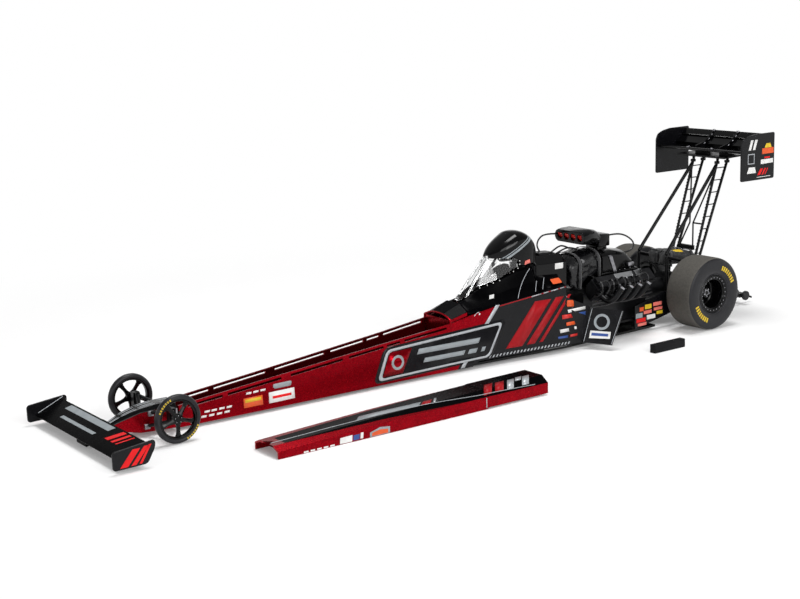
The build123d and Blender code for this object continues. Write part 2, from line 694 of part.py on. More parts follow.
# Rear wing: elements in x, z
main_outline = [(-23.7, 93.6), (-26.0, 92.4), (-33.0, 91.8), (-39.5, 93.8), (-33.0, 93.4), (-26.0, 94.2)]
flap_outlines = [
    [(-38.4, 95.2), (-39.6, 94.6), (-42.4, 96.4), (-44.6, 99.0), (-42.0, 97.4)],
    [(-43.4, 99.2), (-44.6, 99.5), (-46.8, 102.2), (-45.2, 101.0)],
]
span = wing_half_span - wing_plate_thickness
main_wing = wall(main_outline, -span, span)
flaps = [wall(outline, -span, span) for outline in flap_outlines]
nodes["rear_wing_main"] = main_wing
nodes["rear_wing_flaps"] = Compound([f.solid() for f in flaps])
front, rear, low, high = wing_plate_front_x, wing_plate_rear_x, wing_plate_bottom_z, wing_plate_top_z
end_plate = wall(
    [
        (front, low + 1.2), (front, high - 6.0), (front - 0.8, high - 4.2), (front - 2.6, high - 2.4),
        (front - 5.4, high - 1.1), (front - 9.5, high - 0.4), (rear + 0.8, high), (rear, high - 0.8),
        (rear, low + 1.2), (rear + 1.2, low), (front - 1.2, low),
    ],
    span, wing_half_span,
)
nodes["rear_wing_plate_left"] = end_plate
nodes["rear_wing_plate_right"] = other_side(end_plate)

# Plank under the wing and the ribs that carry the flaps
plank_half_span, plank_thickness, plank_rise = 17.5, 1.0, 0.6
plank_rear_z = plank_bottom_z + plank_rise
plank = wall([
    (-25.0, plank_bottom_z), (-44.0, plank_rear_z), (-44.0, plank_rear_z + plank_thickness),
    (-25.0, plank_bottom_z + plank_thickness),
], -plank_half_span, plank_half_span)
rib_outline = [(-31.0, 90.4), (-42.6, 90.3), (-47.3, 101.4), (-46.5, 102.7), (-38.0, 96.5), (-31.0, 94.7)]
ribs = plank
for y in (-strut_y, strut_y):
    ribs += wall(rib_outline, y - 0.4, y + 0.4)
for element in [main_wing] + flaps:
    ribs -= element
nodes["wing_ribs"] = ribs

# Struts and diagonals under the rear wing: foot and top in x, z
strut_lines = [((-10.9, 30.4), (-30.2, 90.0)), ((-14.0, 30.4), (-38.7, 90.0))]
diagonal_foot, diagonal_top = (12.2, 39.9), (-28.4, 85.0)
struts = rod(
    (diagonal_foot[0], frame_half_width - 0.4, diagonal_foot[1]), (diagonal_top[0], strut_y, diagonal_top[1]),
    diagonal_radius,
)
for foot, top in strut_lines:
    struts += rod((foot[0], strut_y, foot[1]), (top[0], strut_y, top[1]), strut_radius)
rungs = 9
rung_radius = 0.3


def on_strut(line, share):
    """A point of a strut, from 0 at its foot to 1 at its top."""
    (x0, z0), (x1, z1) = line
    return (x0 + (x1 - x0) * share, strut_y, z0 + (z1 - z0) * share)


for n in range(1, rungs):
    struts += rod(on_strut(strut_lines[0], n / rungs), on_strut(strut_lines[1], n / rungs), rung_radius)
struts = struts - rear_frame - ribs - pack
nodes["wing_struts_left"] = struts
nodes["wing_struts_right"] = other_side(struts)

# Ring and braces between the struts
ring_x, ring_z = brace_ring
brace = Pos(ring_x, 0, ring_z) * Rot(0, 70, 0) * Torus(brace_ring_radius, 0.6)
brace_feet = [(-18.9, strut_y, 52.9), (-27.9, strut_y, 82.0), (-14.2, 5.2, 39.2)]
for x, y, z in brace_feet:
    for side in (-1, 1):
        brace += rod((ring_x, side * 1.2, ring_z), (x, side * y, z), brace_radius)
brace += Pos(-14.4, 0, 39.8) * Box(1.6, 11.4, 2.6)
brace = brace - struts - other_side(struts) - pack - other_side(pack)
nodes["wing_brace"] = brace

# Front wing with its end plates and the tongue that joins it to the nose
fx, fz = nose_tip_x + front_wing_front_ahead, front_wing_front_z
rx, rz = nose_tip_x + front_wing_rear_ahead, front_wing_rear_z
inner_span = front_wing_half_span - front_plate_thickness
blade_outline = [(fx, fz - 0.4), (fx, fz + 0.2), (rx, rz), (rx, rz - front_wing_thickness)]
front_wing = wall(blade_outline, -inner_span, inner_span)
plate_outline = [(-1.3, 11.5), (16.6, 9.6), (17.6, 8.6), (17.6, 2.7), (16.6, 1.7), (2.6, 2.0), (-1.3, 8.4)]
front_plate = wall([(nose_tip_x + x, z) for x, z in plate_outline], inner_span, front_wing_half_span)
tongue = ruled([
    (nose_tip_x + x, [(w, low), (w, high), (-w, high), (-w, low)]) for x, w, low, high in [
        (11.6, 5.0, 1.0, 3.4),
        (8.5, 4.6, 1.4, 6.4),
        (0.0, 2.6, 4.4, 9.6),
    ]
])
front_wing = front_wing + front_plate + other_side(front_plate) + tongue
nodes["front_wing"] = front_wing - nose

# Wheelie bar, and the wheel set that turns in its end
bar_tip = (bar_end_x + 2.2, 1.6, bar_end_z)
bar = rod((-9.0, 8.0, 8.0), bar_tip, 0.8) + rod((-9.0, 8.0, 14.0), bar_tip, 0.7)
bar += rod((-9.0, 8.0, 8.0), (-9.0, 8.0, 14.0), 0.8)
bar = bar + other_side(bar) + Pos(bar_end_x + 0.6, 0, bar_end_z) * Box(4.6, 4.0, 2.4)
bar += rod((bar_end_x - 1.5, 0, bar_end_z), (bar_end_x - 9.5, 0, 2.6), 0.6)
bar -= rod((bar_end_x, -6, bar_end_z), (bar_end_x, 6, bar_end_z), bar_axle_radius + running_gap)
nodes["wheelie_bar"] = bar - rear_frame
bar_wheel = lathe(
    [(0, -1.1), (2.2, -1.1), (bar_wheel_radius, -0.6), (bar_wheel_radius, 0.6), (2.2, 1.1), (0, 1.1)],
    bar_end_x, 3.8, bar_end_z,
)
wheel_set = rod((bar_end_x, -3.8, bar_end_z), (bar_end_x, 3.8, bar_end_z), bar_axle_radius)
nodes["wheelie_wheels"] = wheel_set + bar_wheel + other_side(bar_wheel)

# Lift-off cowl: x, half width, base z, skirt height, crown height
cowl_table = [
    (297.0, 9.4, 0.0, 3.2, 4.9),
    (243.0, 9.8, 0.0, 5.2, 7.0),
    (cowl_step_x, 9.9, 0.0, 5.7, 8.1),
    (cowl_step_x - 0.3, 10.2, 0.8, 5.8, 8.3),
    (152.4, 10.2, 0.8, 5.8, 8.7),
]


def cowl():
    sections = []
    for x, w, base, skirt, crown in cowl_table:
        inner = arch(w - cowl_skin, base, skirt - cowl_skin * 0.6, crown - cowl_skin, 0.6)
        ring = arch(w, base, skirt, crown, 0.6) + inner[::-1]
        sections.append((x, [(y + cowl_middle_y, z) for y, z in ring]))
    shell = ruled(sections)
    front = cowl_table[0][0]
    notch = [
        (front + 1, cowl_middle_y - cowl_notch_half), (front + 1, cowl_middle_y + cowl_notch_half),
        (front - cowl_notch_depth, cowl_middle_y),
    ]
    return shell - slab(notch, -1, 12)


nodes["lift_off_cowl"] = cowl()

# Small stand block on the floor
block_size = (22.0, 3.8, 4.4)
nodes["stand_block"] = Pos(50.4, 48.3, block_size[2] / 2) * Box(*block_size)

for name, shape in nodes.items():
    export_step(shape if isinstance(shape, (Solid, Compound, Part)) else Part(shape), f"parts/{name}.step")
print(len(nodes), "nodes")
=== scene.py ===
"""Looks of a long rail drag racing car at 1:24, with its nose cowl laid beside it.

Sizes are in millimetres in the car's own frame: +X to the nose, +Y to the car's left, +Z up,
from the floor point under the middle of the rear axle. Each mesh is scaled to metres as it is finished.
"""
import logging
import math
import random
from collections.abc import Callable
from dataclasses import dataclass
from enum import Enum

import bmesh
import bpy
from mathutils import Matrix, Vector, noise


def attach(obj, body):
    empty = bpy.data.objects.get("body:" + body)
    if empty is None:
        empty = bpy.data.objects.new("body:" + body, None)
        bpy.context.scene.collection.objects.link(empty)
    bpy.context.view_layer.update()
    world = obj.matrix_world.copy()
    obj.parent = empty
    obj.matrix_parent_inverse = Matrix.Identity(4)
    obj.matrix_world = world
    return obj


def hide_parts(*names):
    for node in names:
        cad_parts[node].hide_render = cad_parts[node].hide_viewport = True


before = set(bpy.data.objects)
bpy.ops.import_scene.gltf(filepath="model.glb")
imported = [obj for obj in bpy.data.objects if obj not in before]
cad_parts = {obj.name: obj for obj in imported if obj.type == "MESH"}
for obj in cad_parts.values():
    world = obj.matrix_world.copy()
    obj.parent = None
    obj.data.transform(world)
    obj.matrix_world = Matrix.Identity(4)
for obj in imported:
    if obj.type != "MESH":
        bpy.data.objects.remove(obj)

LOG = logging.getLogger("dragster")
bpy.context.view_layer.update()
MM = 0.001
UP = Vector((0.0, 0.0, 1.0))
Triple = tuple[float, float, float]
Pair = tuple[float, float]
IDENTITY = Matrix.Identity(4)
Outline = tuple[Pair, ...]
Outlines = list[list[Pair]]
Route = tuple[Triple, ...]
Table = tuple[tuple[float, ...], ...]


def shade(code: str) -> tuple[float, float, float, float]:
    """Turns a six digit screen colour into the linear colour that a shader wants.

    Args:
        code: The colour as six hexadecimal digits.

    Returns:
        Linear red, green, blue and an alpha of one.
    """
    levels = [int(code[n:n + 2], 16) / 255 for n in (0, 2, 4)]
    linear = [v / 12.92 if v <= 0.04045 else ((v + 0.055) / 1.055) ** 2.4 for v in levels]
    return (linear[0], linear[1], linear[2], 1.0)


class Slot(Enum):
    """Material slots of the record."""

    TYRE = "tyre"
    BLACK_METAL = "black_metal"
    STEEL = "steel"
    CHROME = "chrome"
    RED_PAINT = "red_paint"
    CLEAR = "clear"
    GLOSS_BLACK = "gloss_black"
    CLOTH = "cloth"
    RED_PLASTIC = "red_plastic"
    HOSE = "hose"
    MATT_BLACK = "matt_black"


class Grain(Enum):
    """Kinds of fine relief that a finish can have."""

    MOULDED = "moulded_grain"
    BRUSHED = "brushed_grain"
    WOVEN = "woven_grain"
    CREASED = "creased_grain"
    LATHED = "lathed_grain"


class Wiring:
    """A material's or a group's nodes in the making."""

    def __init__(self, tree: bpy.types.NodeTree) -> None:
        """Starts on a node tree."""
        self.nodes, self.link = tree.nodes, tree.links.new

    def add(
        self, kind: str, values: dict[str | int, object] | None = None,
        joins: dict[str | int, bpy.types.NodeSocket] | None = None, **settings: object,
    ) -> bpy.types.NodeOutputs:
        """Adds a node, set up and joined.

        Args:
            kind: The node's type.
            values: The fixed value of each input that is given one.
            joins: The output that feeds each input that is joined.
            settings: The node's own settings.

        Returns:
            The node's outputs.
        """
        node = self.nodes.new(f"ShaderNode{kind}")
        for label, value in settings.items():
            setattr(node, label, value)
        for label, value in (values or {}).items():
            node.inputs[label].default_value = value
        for label, source in (joins or {}).items():
            self.link(source, node.inputs[label])
        return node.outputs


class ShaderParts:
    """Node groups that several finishes share, each built once."""

    COLOUR = "NodeSocketColor"
    FLOAT = "NodeSocketFloat"
    FLAKE_SCALE = 5000.0
    FLAKE_FOCUS = 3.0

    @staticmethod
    def start(
        name: str, ins: dict[str, str], outs: dict[str, str],
    ) -> tuple[bpy.types.NodeTree, Wiring, bpy.types.NodeOutputs, bpy.types.NodeInputs]:
        """Makes an empty group with named sockets.

        Args:
            name: The group's name.
            ins: Each input's name and type.
            outs: Each output's name and type.

        Returns:
            The group, its wiring, what it is given and what it puts out.
        """
        group = bpy.data.node_groups.new(name, "ShaderNodeTree")
        for way, sockets in (("INPUT", ins), ("OUTPUT", outs)):
            for label, kind in sockets.items():
                group.interface.new_socket(label, in_out=way, socket_type=kind)
        given, wanted = group.nodes.new("NodeGroupInput"), group.nodes.new("NodeGroupOutput")
        return group, Wiring(group), given.outputs, wanted.inputs

    @classmethod
    def mottle(cls) -> bpy.types.NodeTree:
        """Soft patches of a second colour, with the roughness that goes with them."""
        if "mottle" in bpy.data.node_groups:
            return bpy.data.node_groups["mottle"]
        ins = {"Colour": cls.COLOUR, "Second": cls.COLOUR}
        ins |= {label: cls.FLOAT for label in ("Scale", "Amount", "Roughness", "Swing")}
        group, wire, given, wanted = cls.start("mottle", ins, {"Colour": cls.COLOUR, "Roughness": cls.FLOAT})
        place = wire.add("TexCoord")["Object"]
        patches = wire.add(
            "TexNoise", {"Detail": 6.0, "Roughness": 0.62}, {"Vector": place, "Scale": given["Scale"]})
        limits = {"From Min": 0.35, "From Max": 0.68}
        share = wire.add("MapRange", limits, {"Value": patches["Fac"]})["Result"]
        part = wire.add("Math", None, {0: share, 1: given["Amount"]}, operation="MULTIPLY")[0]
        blend = wire.add(
            "Mix", None, {"Factor": part, "A": given["Colour"], "B": given["Second"]}, data_type="RGBA")
        rough = wire.add(
            "Math", None, {0: share, 1: given["Swing"], 2: given["Roughness"]}, operation="MULTIPLY_ADD")
        wire.link(blend["Result"], wanted["Colour"])
        wire.link(rough[0], wanted["Roughness"])
        return group

    @classmethod
    def flakes(cls) -> bpy.types.NodeTree:
        """Small bright specks in a paint."""
        if "flakes" in bpy.data.node_groups:
            return bpy.data.node_groups["flakes"]
        group, wire, given, wanted = cls.start(
            "flakes", {"Colour": cls.COLOUR, "Speck": cls.COLOUR, "Amount": cls.FLOAT}, {"Colour": cls.COLOUR}
        )
        cells = wire.add("TexVoronoi", {"Scale": cls.FLAKE_SCALE}, {"Vector": wire.add("TexCoord")["Object"]})
        level = wire.add("SeparateColor", None, {"Color": cells["Color"]})["Red"]
        few = wire.add("Math", {1: cls.FLAKE_FOCUS}, {0: level}, operation="POWER")[0]
        part = wire.add("Math", None, {0: few, 1: given["Amount"]}, operation="MULTIPLY")[0]
        blend = wire.add(
            "Mix", None, {"Factor": part, "A": given["Colour"], "B": given["Speck"]}, data_type="RGBA")
        wire.link(blend["Result"], wanted["Colour"])
        return group

    @classmethod
    def relief(cls, kind: Grain) -> bpy.types.NodeTree:
        """Fine relief of one kind, as a height.

        Args:
            kind: Which relief to build.

        Returns:
            The node group.
        """
        if kind.value in bpy.data.node_groups:
            return bpy.data.node_groups[kind.value]
        group, wire, given, wanted = cls.start(kind.value, {"Scale": cls.FLOAT}, {"Height": cls.FLOAT})
        feed = {"Vector": wire.add("TexCoord")["Object"], "Scale": given["Scale"]}
        if kind is Grain.WOVEN:
            waves = [
                wire.add("TexWave", {"Distortion": 0.6}, feed, bands_direction=turn)["Fac"] for turn in "XZ"]
            height = wire.add("Math", None, dict(enumerate(waves)), operation="MAXIMUM")[0]
        elif kind is Grain.LATHED:
            rings = wire.add("TexWave", {"Distortion": 0.4}, feed, wave_type="RINGS", rings_direction="Y")
            height = rings["Fac"]
        elif kind is Grain.CREASED:
            height = wire.add("TexNoise", {"Detail": 8.0, "Distortion": 1.2}, feed)["Fac"]
        else:
            if kind is Grain.BRUSHED:
                stretch = wire.add("Mapping", {"Scale": (0.06, 1.0, 1.0)}, {"Vector": feed["Vector"]})
                feed["Vector"] = stretch["Vector"]
            height = wire.add("TexNoise", {"Detail": 3.0}, feed)["Fac"]
        wire.link(height, wanted["Height"])
        return group


@dataclass(frozen=True)
class Finish:
    """One surface finish of the model, as the values of its shader."""

    name: str
    slot: Slot
    colour: str
    second: str
    scale: float = 260.0
    amount: float = 0.6
    roughness: float = 0.35
    swing: float = 0.1
    metallic: float = 0.0
    coat: float = 0.0
    coat_roughness: float = 0.03
    specular: float = 0.5
    sheen: float = 0.0
    clear: float = 0.0
    ior: float = 1.5
    grain: Grain = Grain.MOULDED
    grain_scale: float = 2500.0
    bump: float = 0.1
    bump_depth: float = 0.02
    speck: str = ""
    speck_amount: float = 0.0

    def material(self) -> bpy.types.Material:
        """Builds the finish's material, once.

        Returns:
            The material.
        """
        if self.name in bpy.data.materials:
            return bpy.data.materials[self.name]
        made = bpy.data.materials.new(self.name)
        made.use_nodes = True
        wire = Wiring(made.node_tree)
        shader = wire.nodes["Principled BSDF"].inputs
        for label, value in (
            ("Metallic", self.metallic), ("Coat Weight", self.coat), ("Coat Roughness", self.coat_roughness),
            ("Specular IOR Level", self.specular), ("Sheen Weight", self.sheen),
            ("Transmission Weight", self.clear), ("IOR", self.ior),
        ):
            shader[label].default_value = value
        mottle = wire.add(
            "Group",
            {
                "Colour": shade(self.colour), "Second": shade(self.second), "Scale": self.scale,
                "Amount": self.amount, "Roughness": self.roughness, "Swing": self.swing},
            node_tree=ShaderParts.mottle())
        colour = mottle["Colour"]
        if self.speck:
            flecks = {"Speck": shade(self.speck), "Amount": self.speck_amount}
            colour = wire.add("Group", flecks, {"Colour": colour}, node_tree=ShaderParts.flakes())["Colour"]
        relief = wire.add("Group", {"Scale": self.grain_scale}, node_tree=ShaderParts.relief(self.grain))
        depth = {"Strength": self.bump, "Distance": self.bump_depth * MM}
        bump = wire.add("Bump", depth, {"Height": relief["Height"]})
        for label, source in (
            ("Base Color", colour), ("Roughness", mottle["Roughness"]), ("Normal", bump["Normal"])):
            wire.link(source, shader[label])
        return made


RED = Finish("metallic_red", Slot.RED_PAINT, "880313", "56020b", roughness=0.24, swing=0.07, metallic=0.88,
             coat=0.02, specular=0.06, speck="e01a22", speck_amount=0.35, bump=0.04)
STRIPE_RED = Finish(
    "stripe_red", Slot.RED_PAINT, "a3141c", "8a0d14", roughness=0.34, specular=0.15, bump=0.04)
BRIGHT_RED = Finish("bright_red", Slot.RED_PAINT, "e8191c", "cc1216", roughness=0.34, specular=0.2, bump=0.04)
GLOSS = Finish(
    "polished_black", Slot.GLOSS_BLACK, "040405", "070708", roughness=0.1, swing=0.05, specular=0.2, bump=0.03
)
DEEP = Finish(
    "deep_black", Slot.GLOSS_BLACK, "030304", "060607", roughness=0.24, swing=0.05, specular=0.02, bump=0.03)
PANEL = Finish("panel_black", Slot.GLOSS_BLACK, "0c0c0f", "131316", roughness=0.2, swing=0.08, specular=0.2,
               bump=0.05)
SATIN = Finish("satin_black", Slot.BLACK_METAL, "060607", "101013", roughness=0.28, swing=0.14, specular=0.18,
               bump=0.15)
MATT = Finish(
    "dull_black", Slot.MATT_BLACK, "09090b", "141417", roughness=0.55, swing=0.16, specular=0.15, bump=0.4)
CAST = Finish("cast_black", Slot.BLACK_METAL, "09090b", "17171b", roughness=0.34, swing=0.2, specular=0.3,
              bump=0.5, bump_depth=0.05, grain_scale=1400)
STEEL = Finish("plain_steel", Slot.STEEL, "a2a2a6", "77777c", roughness=0.26, swing=0.15, metallic=1.0,
               grain=Grain.BRUSHED, bump=0.2)
CHROME = Finish("bright_chrome", Slot.CHROME, "eceef0", "cbcdd1", roughness=0.07, swing=0.08, metallic=1.0,
                bump=0.03)
SILVER = Finish("silver_line", Slot.CHROME, "b4b8bc", "989ca0", roughness=0.35, metallic=0.3, bump=0.05)
WHITE = Finish("white_print", Slot.CHROME, "e9e9e7", "d6d6d4", roughness=0.4, bump=0.05)
GREY = Finish("grey_print", Slot.CHROME, "969da1", "82898d", roughness=0.4, bump=0.05)
ORANGE = Finish("orange_print", Slot.RED_PLASTIC, "e4561a", "c24c14", roughness=0.4, bump=0.05)
YELLOW = Finish("yellow_print", Slot.RED_PLASTIC, "e0c020", "c39a10", roughness=0.45, bump=0.05)
BLUE = Finish("blue_print", Slot.RED_PLASTIC, "2c4f96", "203d7a", roughness=0.4, bump=0.05)
ROSE = Finish("rose_print", Slot.RED_PLASTIC, "e8786c", "d2564e", roughness=0.4, bump=0.05)
TREAD = Finish(
    "tyre_tread", Slot.TYRE, "494743", "5a5752", scale=900.0, amount=0.8, roughness=0.8, swing=0.12,
    specular=0.3, bump=0.7, bump_depth=0.06, grain_scale=1800)
SIDEWALL = Finish("tyre_sidewall", Slot.TYRE, "17171a", "232327", scale=500.0, roughness=0.36, swing=0.14,
                  specular=0.3, grain=Grain.LATHED, grain_scale=900, bump=0.12)
CLEAR = Finish(
    "clear_plastic", Slot.CLEAR, "ffffff", "f6f8f8", roughness=0.01, swing=0.01, clear=1.0, ior=1.45,
    bump=0.002, grain_scale=300.0)
HOSE = Finish("rubber_hose", Slot.HOSE, "0b0b0d", "19191c", scale=900.0, roughness=0.24, swing=0.2, bump=0.3)
VINYL = Finish("quilted_vinyl", Slot.CLOTH, "08080a", "131316", scale=420.0, roughness=0.2, swing=0.14,
               specular=0.45, grain=Grain.CREASED, grain_scale=900, bump=0.5, bump_depth=0.1)
NYLON = Finish(
    "pack_nylon", Slot.CLOTH, "0a0a0c", "151518", scale=500.0, roughness=0.4, swing=0.15, sheen=0.2,
    grain=Grain.WOVEN, grain_scale=900, bump=0.5, bump_depth=0.05)
WEBBING = Finish("strap_webbing", Slot.CLOTH, "18181b", "26262a", scale=900.0, roughness=0.5, sheen=0.2,
                 grain=Grain.WOVEN, grain_scale=1400, bump=0.6, bump_depth=0.05)
SCARLET = Finish("scarlet_plastic", Slot.RED_PLASTIC, "d0241c", "a31712", roughness=0.3, bump=0.05)


def middle(face: bmesh.types.BMFace) -> Vector:
    """The middle of a face."""
    return face.calc_center_median()


def bake(holder: bpy.types.Object) -> None:
    """Turns an object's modifiers into its mesh.

    Args:
        holder: The object.
    """
    bpy.context.view_layer.update()
    made = bpy.data.meshes.new_from_object(holder.evaluated_get(bpy.context.evaluated_depsgraph_get()))
    holder.modifiers.clear()
    holder.data = made


class Form:
    """A mesh in the making, in millimetres in the car's frame."""

    def __init__(self) -> None:
        """Starts with nothing in it."""
        self.bm = bmesh.new()

    def ring(self, points: list[Triple], closed: bool = True) -> list[bmesh.types.BMVert]:
        """Draws a row of points with edges between them.

        Args:
            points: The places of the row.
            closed: Whether the last joins the first.

        Returns:
            The row's vertices.
        """
        row = [self.bm.verts.new(p) for p in points]
        for a, b in zip(row, row[1:] + (row[:1] if closed else [])):
            self.bm.edges.new((a, b))
        return row

    def extend(self, row: list[bmesh.types.BMVert], points: list[Triple]) -> list[bmesh.types.BMVert]:
        """Extrudes a row to the next row's places.

        Args:
            row: The last row's vertices.
            points: Where the next row's vertices go, in the same order.

        Returns:
            The new row's vertices.
        """
        inside = set(row)
        edges = [e for e in {e for v in row for e in v.link_edges} if set(e.verts) <= inside]
        made = bmesh.ops.extrude_edge_only(self.bm, edges=edges)["geom"]
        fresh = {v for v in made if isinstance(v, bmesh.types.BMVert)}
        new_row = []
        for old, point in zip(row, points):
            new = next(e.other_vert(old) for e in old.link_edges if e.other_vert(old) in fresh)
            new.co = point
            new_row.append(new)
        return new_row

    def loft(self, rows: list[list[Triple]], closed: bool = True, caps: bool = True) -> "Form":
        """Skins a shape through rows of points.

        Args:
            rows: The rows, each with as many points as the others.
            closed: Whether each row is a closed outline.
            caps: Whether the first and last outlines are filled.

        Returns:
            This form.
        """
        first = row = self.ring(rows[0], closed)
        for points in rows[1:]:
            row = self.extend(row, points)
        if closed and caps:
            self.bm.faces.new(first)
            self.bm.faces.new(row)
        return self

    def slab(self, outline: list[Triple], thick: Triple) -> "Form":
        """Extrudes a flat outline.

        Args:
            outline: The outline's corners.
            thick: How far and which way it is extruded.

        Returns:
            This form.
        """
        face = self.bm.faces.new(self.ring(outline))
        made = bmesh.ops.extrude_face_region(self.bm, geom=[face])["geom"]
        bmesh.ops.translate(self.bm, verts=[v for v in made if isinstance(v, bmesh.types.BMVert)], vec=thick)
        return self

    def wall(self, outline: list[Pair], low: float, high: float) -> "Form":
        """A slab from an outline of x, z points, between two y values."""
        return self.slab([(x, low, z) for x, z in outline], (0.0, high - low, 0.0))

    def box(self, centre: Triple, size: Triple, turn: Matrix = IDENTITY, round_by: float = 0.0) -> "Form":
        """A block with its edges rounded.

        Args:
            centre: Its middle.
            size: Its lengths along x, y and z.
            turn: How it is turned about its middle.
            round_by: How far its edges are rounded.

        Returns:
            This form.
        """
        place = Matrix.Translation(centre) @ turn @ Matrix.Diagonal((*size, 1.0))
        verts = bmesh.ops.create_cube(self.bm, size=1.0, matrix=place)["verts"]
        if round_by:
            edges = list({e for v in verts for e in v.link_edges})
            bmesh.ops.bevel(
                self.bm, geom=edges, offset=round_by, offset_type="OFFSET", segments=2, profile=0.5,
                affect="EDGES", material=-1, clamp_overlap=True)
        return self

    def rod(self, start: Triple, end: Triple, radius: float, sides: int = 16) -> "Form":
        """A round bar between two points.

        Args:
            start: Its first end.
            end: Its second end.
            radius: Its radius.
            sides: How many flats go round it.

        Returns:
            This form.
        """
        a, b = Vector(start), Vector(end)
        turn = UP.rotation_difference(b - a).to_matrix().to_4x4()
        bmesh.ops.create_cone(
            self.bm, cap_ends=True, segments=sides, radius1=radius, radius2=radius, depth=(b - a).length,
            matrix=Matrix.Translation((a + b) / 2) @ turn,
        )
        return self

    def ball(self, centre: Triple, radius: float, size: Triple = (1.0, 1.0, 1.0), rings: int = 8) -> "Form":
        """A round or squashed ball.

        Args:
            centre: Its middle.
            radius: Its radius before it is squashed.
            size: How far it is squashed along each axis.
            rings: How many rows of faces it has.

        Returns:
            This form.
        """
        place = Matrix.Translation(centre) @ Matrix.Diagonal((*size, 1.0))
        bmesh.ops.create_uvsphere(
            self.bm, u_segments=2 * rings, v_segments=rings, radius=radius, matrix=place)
        return self

    def hose(self, points: list[Triple], radius: float, sides: int = 2) -> "Form":
        """A smooth bent tube that follows a line of control points.

        Args:
            points: The control points.
            radius: The tube's radius.
            sides: The roundness of the tube.

        Returns:
            This form.
        """
        curve = bpy.data.curves.new("route", "CURVE")
        curve.dimensions = "3D"
        curve.bevel_depth, curve.bevel_resolution, curve.use_fill_caps = radius, sides, True
        spline = curve.splines.new("NURBS")
        spline.points.add(len(points) - 1)
        for point, place in zip(spline.points, points):
            point.co = (*place, 1.0)
        spline.order_u, spline.use_endpoint_u, spline.resolution_u = 3, True, 6
        holder = bpy.data.objects.new("route", curve)
        mesh = bpy.data.meshes.new_from_object(holder)
        self.bm.from_mesh(mesh)
        bpy.data.objects.remove(holder)
        bpy.data.curves.remove(curve)
        bpy.data.meshes.remove(mesh)
        return self

    def lathe(self, profile: list[Pair], centre: Triple, steps: int = 64) -> "Form":
        """Turns a profile about a line along y.

        Args:
            profile: Radius and y distance of each point, from one side of the ring to the other.
            centre: The middle, from which the y distances count.
            steps: How many faces go round.

        Returns:
            This form.
        """
        x, y, z = centre
        row = self.ring([(x + r, y + h, z) for r, h in profile], closed=False)
        edges = [e for e in {e for v in row for e in v.link_edges}]
        bmesh.ops.spin(
            self.bm, geom=row + edges, cent=centre, axis=(0.0, 1.0, 0.0), dvec=(0.0, 0.0, 0.0),
            angle=2 * math.pi, space=IDENTITY, steps=steps, use_merge=True, use_duplicate=False,
            use_normal_flip=False,
        )
        return self

    def around(self, build: "Form", centre: Triple, count: int, first: float = 0.0) -> "Form":
        """Repeats another form round a line along y.

        Args:
            build: The form to repeat, drawn at angle zero.
            centre: A point of the line.
            count: How many there are.
            first: The first one's angle in degrees.

        Returns:
            This form.
        """
        mesh = bpy.data.meshes.new("repeat")
        build.bm.to_mesh(mesh)
        build.bm.free()
        for n in range(count):
            before = set(self.bm.verts)
            self.bm.from_mesh(mesh)
            turn = Matrix.Rotation(math.radians(first + 360.0 * n / count), 3, "Y")
            bmesh.ops.rotate(
                self.bm, cent=centre, matrix=turn, verts=[v for v in self.bm.verts if v not in before])
        bpy.data.meshes.remove(mesh)
        return self

    def mirrored(self) -> "Form":
        """Adds the same shape on the car's other side."""
        geom = self.bm.verts[:] + self.bm.edges[:] + self.bm.faces[:]
        made = bmesh.ops.duplicate(self.bm, geom=geom)["geom"]
        verts = [v for v in made if isinstance(v, bmesh.types.BMVert)]
        bmesh.ops.scale(self.bm, vec=(1.0, -1.0, 1.0), verts=verts)
        bmesh.ops.reverse_faces(self.bm, faces=[f for f in made if isinstance(f, bmesh.types.BMFace)])
        return self

    def flip(self) -> "Form":
        """Moves the shape to the car's other side."""
        bmesh.ops.scale(self.bm, vec=(1.0, -1.0, 1.0), verts=self.bm.verts[:])
        bmesh.ops.reverse_faces(self.bm, faces=self.bm.faces[:])
        return self

    def on(self, side: str) -> "Form":
        """Keeps the shape for the left side, and moves it over for the right."""
        return self if side == "left" else self.flip()

    def cut(self, point: Triple, normal: Triple, faces: list[bmesh.types.BMFace] | None = None) -> "Form":
        """Divides faces along a plane, without removing anything.

        Args:
            point: A point of the plane.
            normal: The plane's normal.
            faces: The faces to divide, or all of them.

        Returns:
            This form.
        """
        chosen = self.bm.faces[:] if faces is None else faces
        geom = {g for f in chosen for g in [f, *f.edges, *f.verts]}
        bmesh.ops.bisect_plane(self.bm, geom=list(geom), dist=1e-4, plane_co=point, plane_no=normal)
        return self

    def paint(self, index: int, test: Callable[[bmesh.types.BMFace], bool]) -> "Form":
        """Gives another of the piece's finishes to the faces that pass a test.

        Args:
            index: Which of the piece's finishes.
            test: Says of a face whether it is to be changed.

        Returns:
            This form.
        """
        bmesh.ops.recalc_face_normals(self.bm, faces=self.bm.faces[:])
        for face in self.bm.faces:
            if test(face):
                face.material_index = index
        return self

    def refine(self, levels: int) -> "Form":
        """Subdivides the mesh smoothly.

        Args:
            levels: How many times.

        Returns:
            This form.
        """
        mesh = bpy.data.meshes.new("refine")
        self.bm.to_mesh(mesh)
        holder = bpy.data.objects.new("refine", mesh)
        bpy.context.scene.collection.objects.link(holder)
        soft = holder.modifiers.new("soft", "SUBSURF")
        soft.levels = soft.render_levels = levels
        bake(holder)
        self.bm.clear()
        self.bm.from_mesh(holder.data)
        bpy.data.objects.remove(holder)
        return self

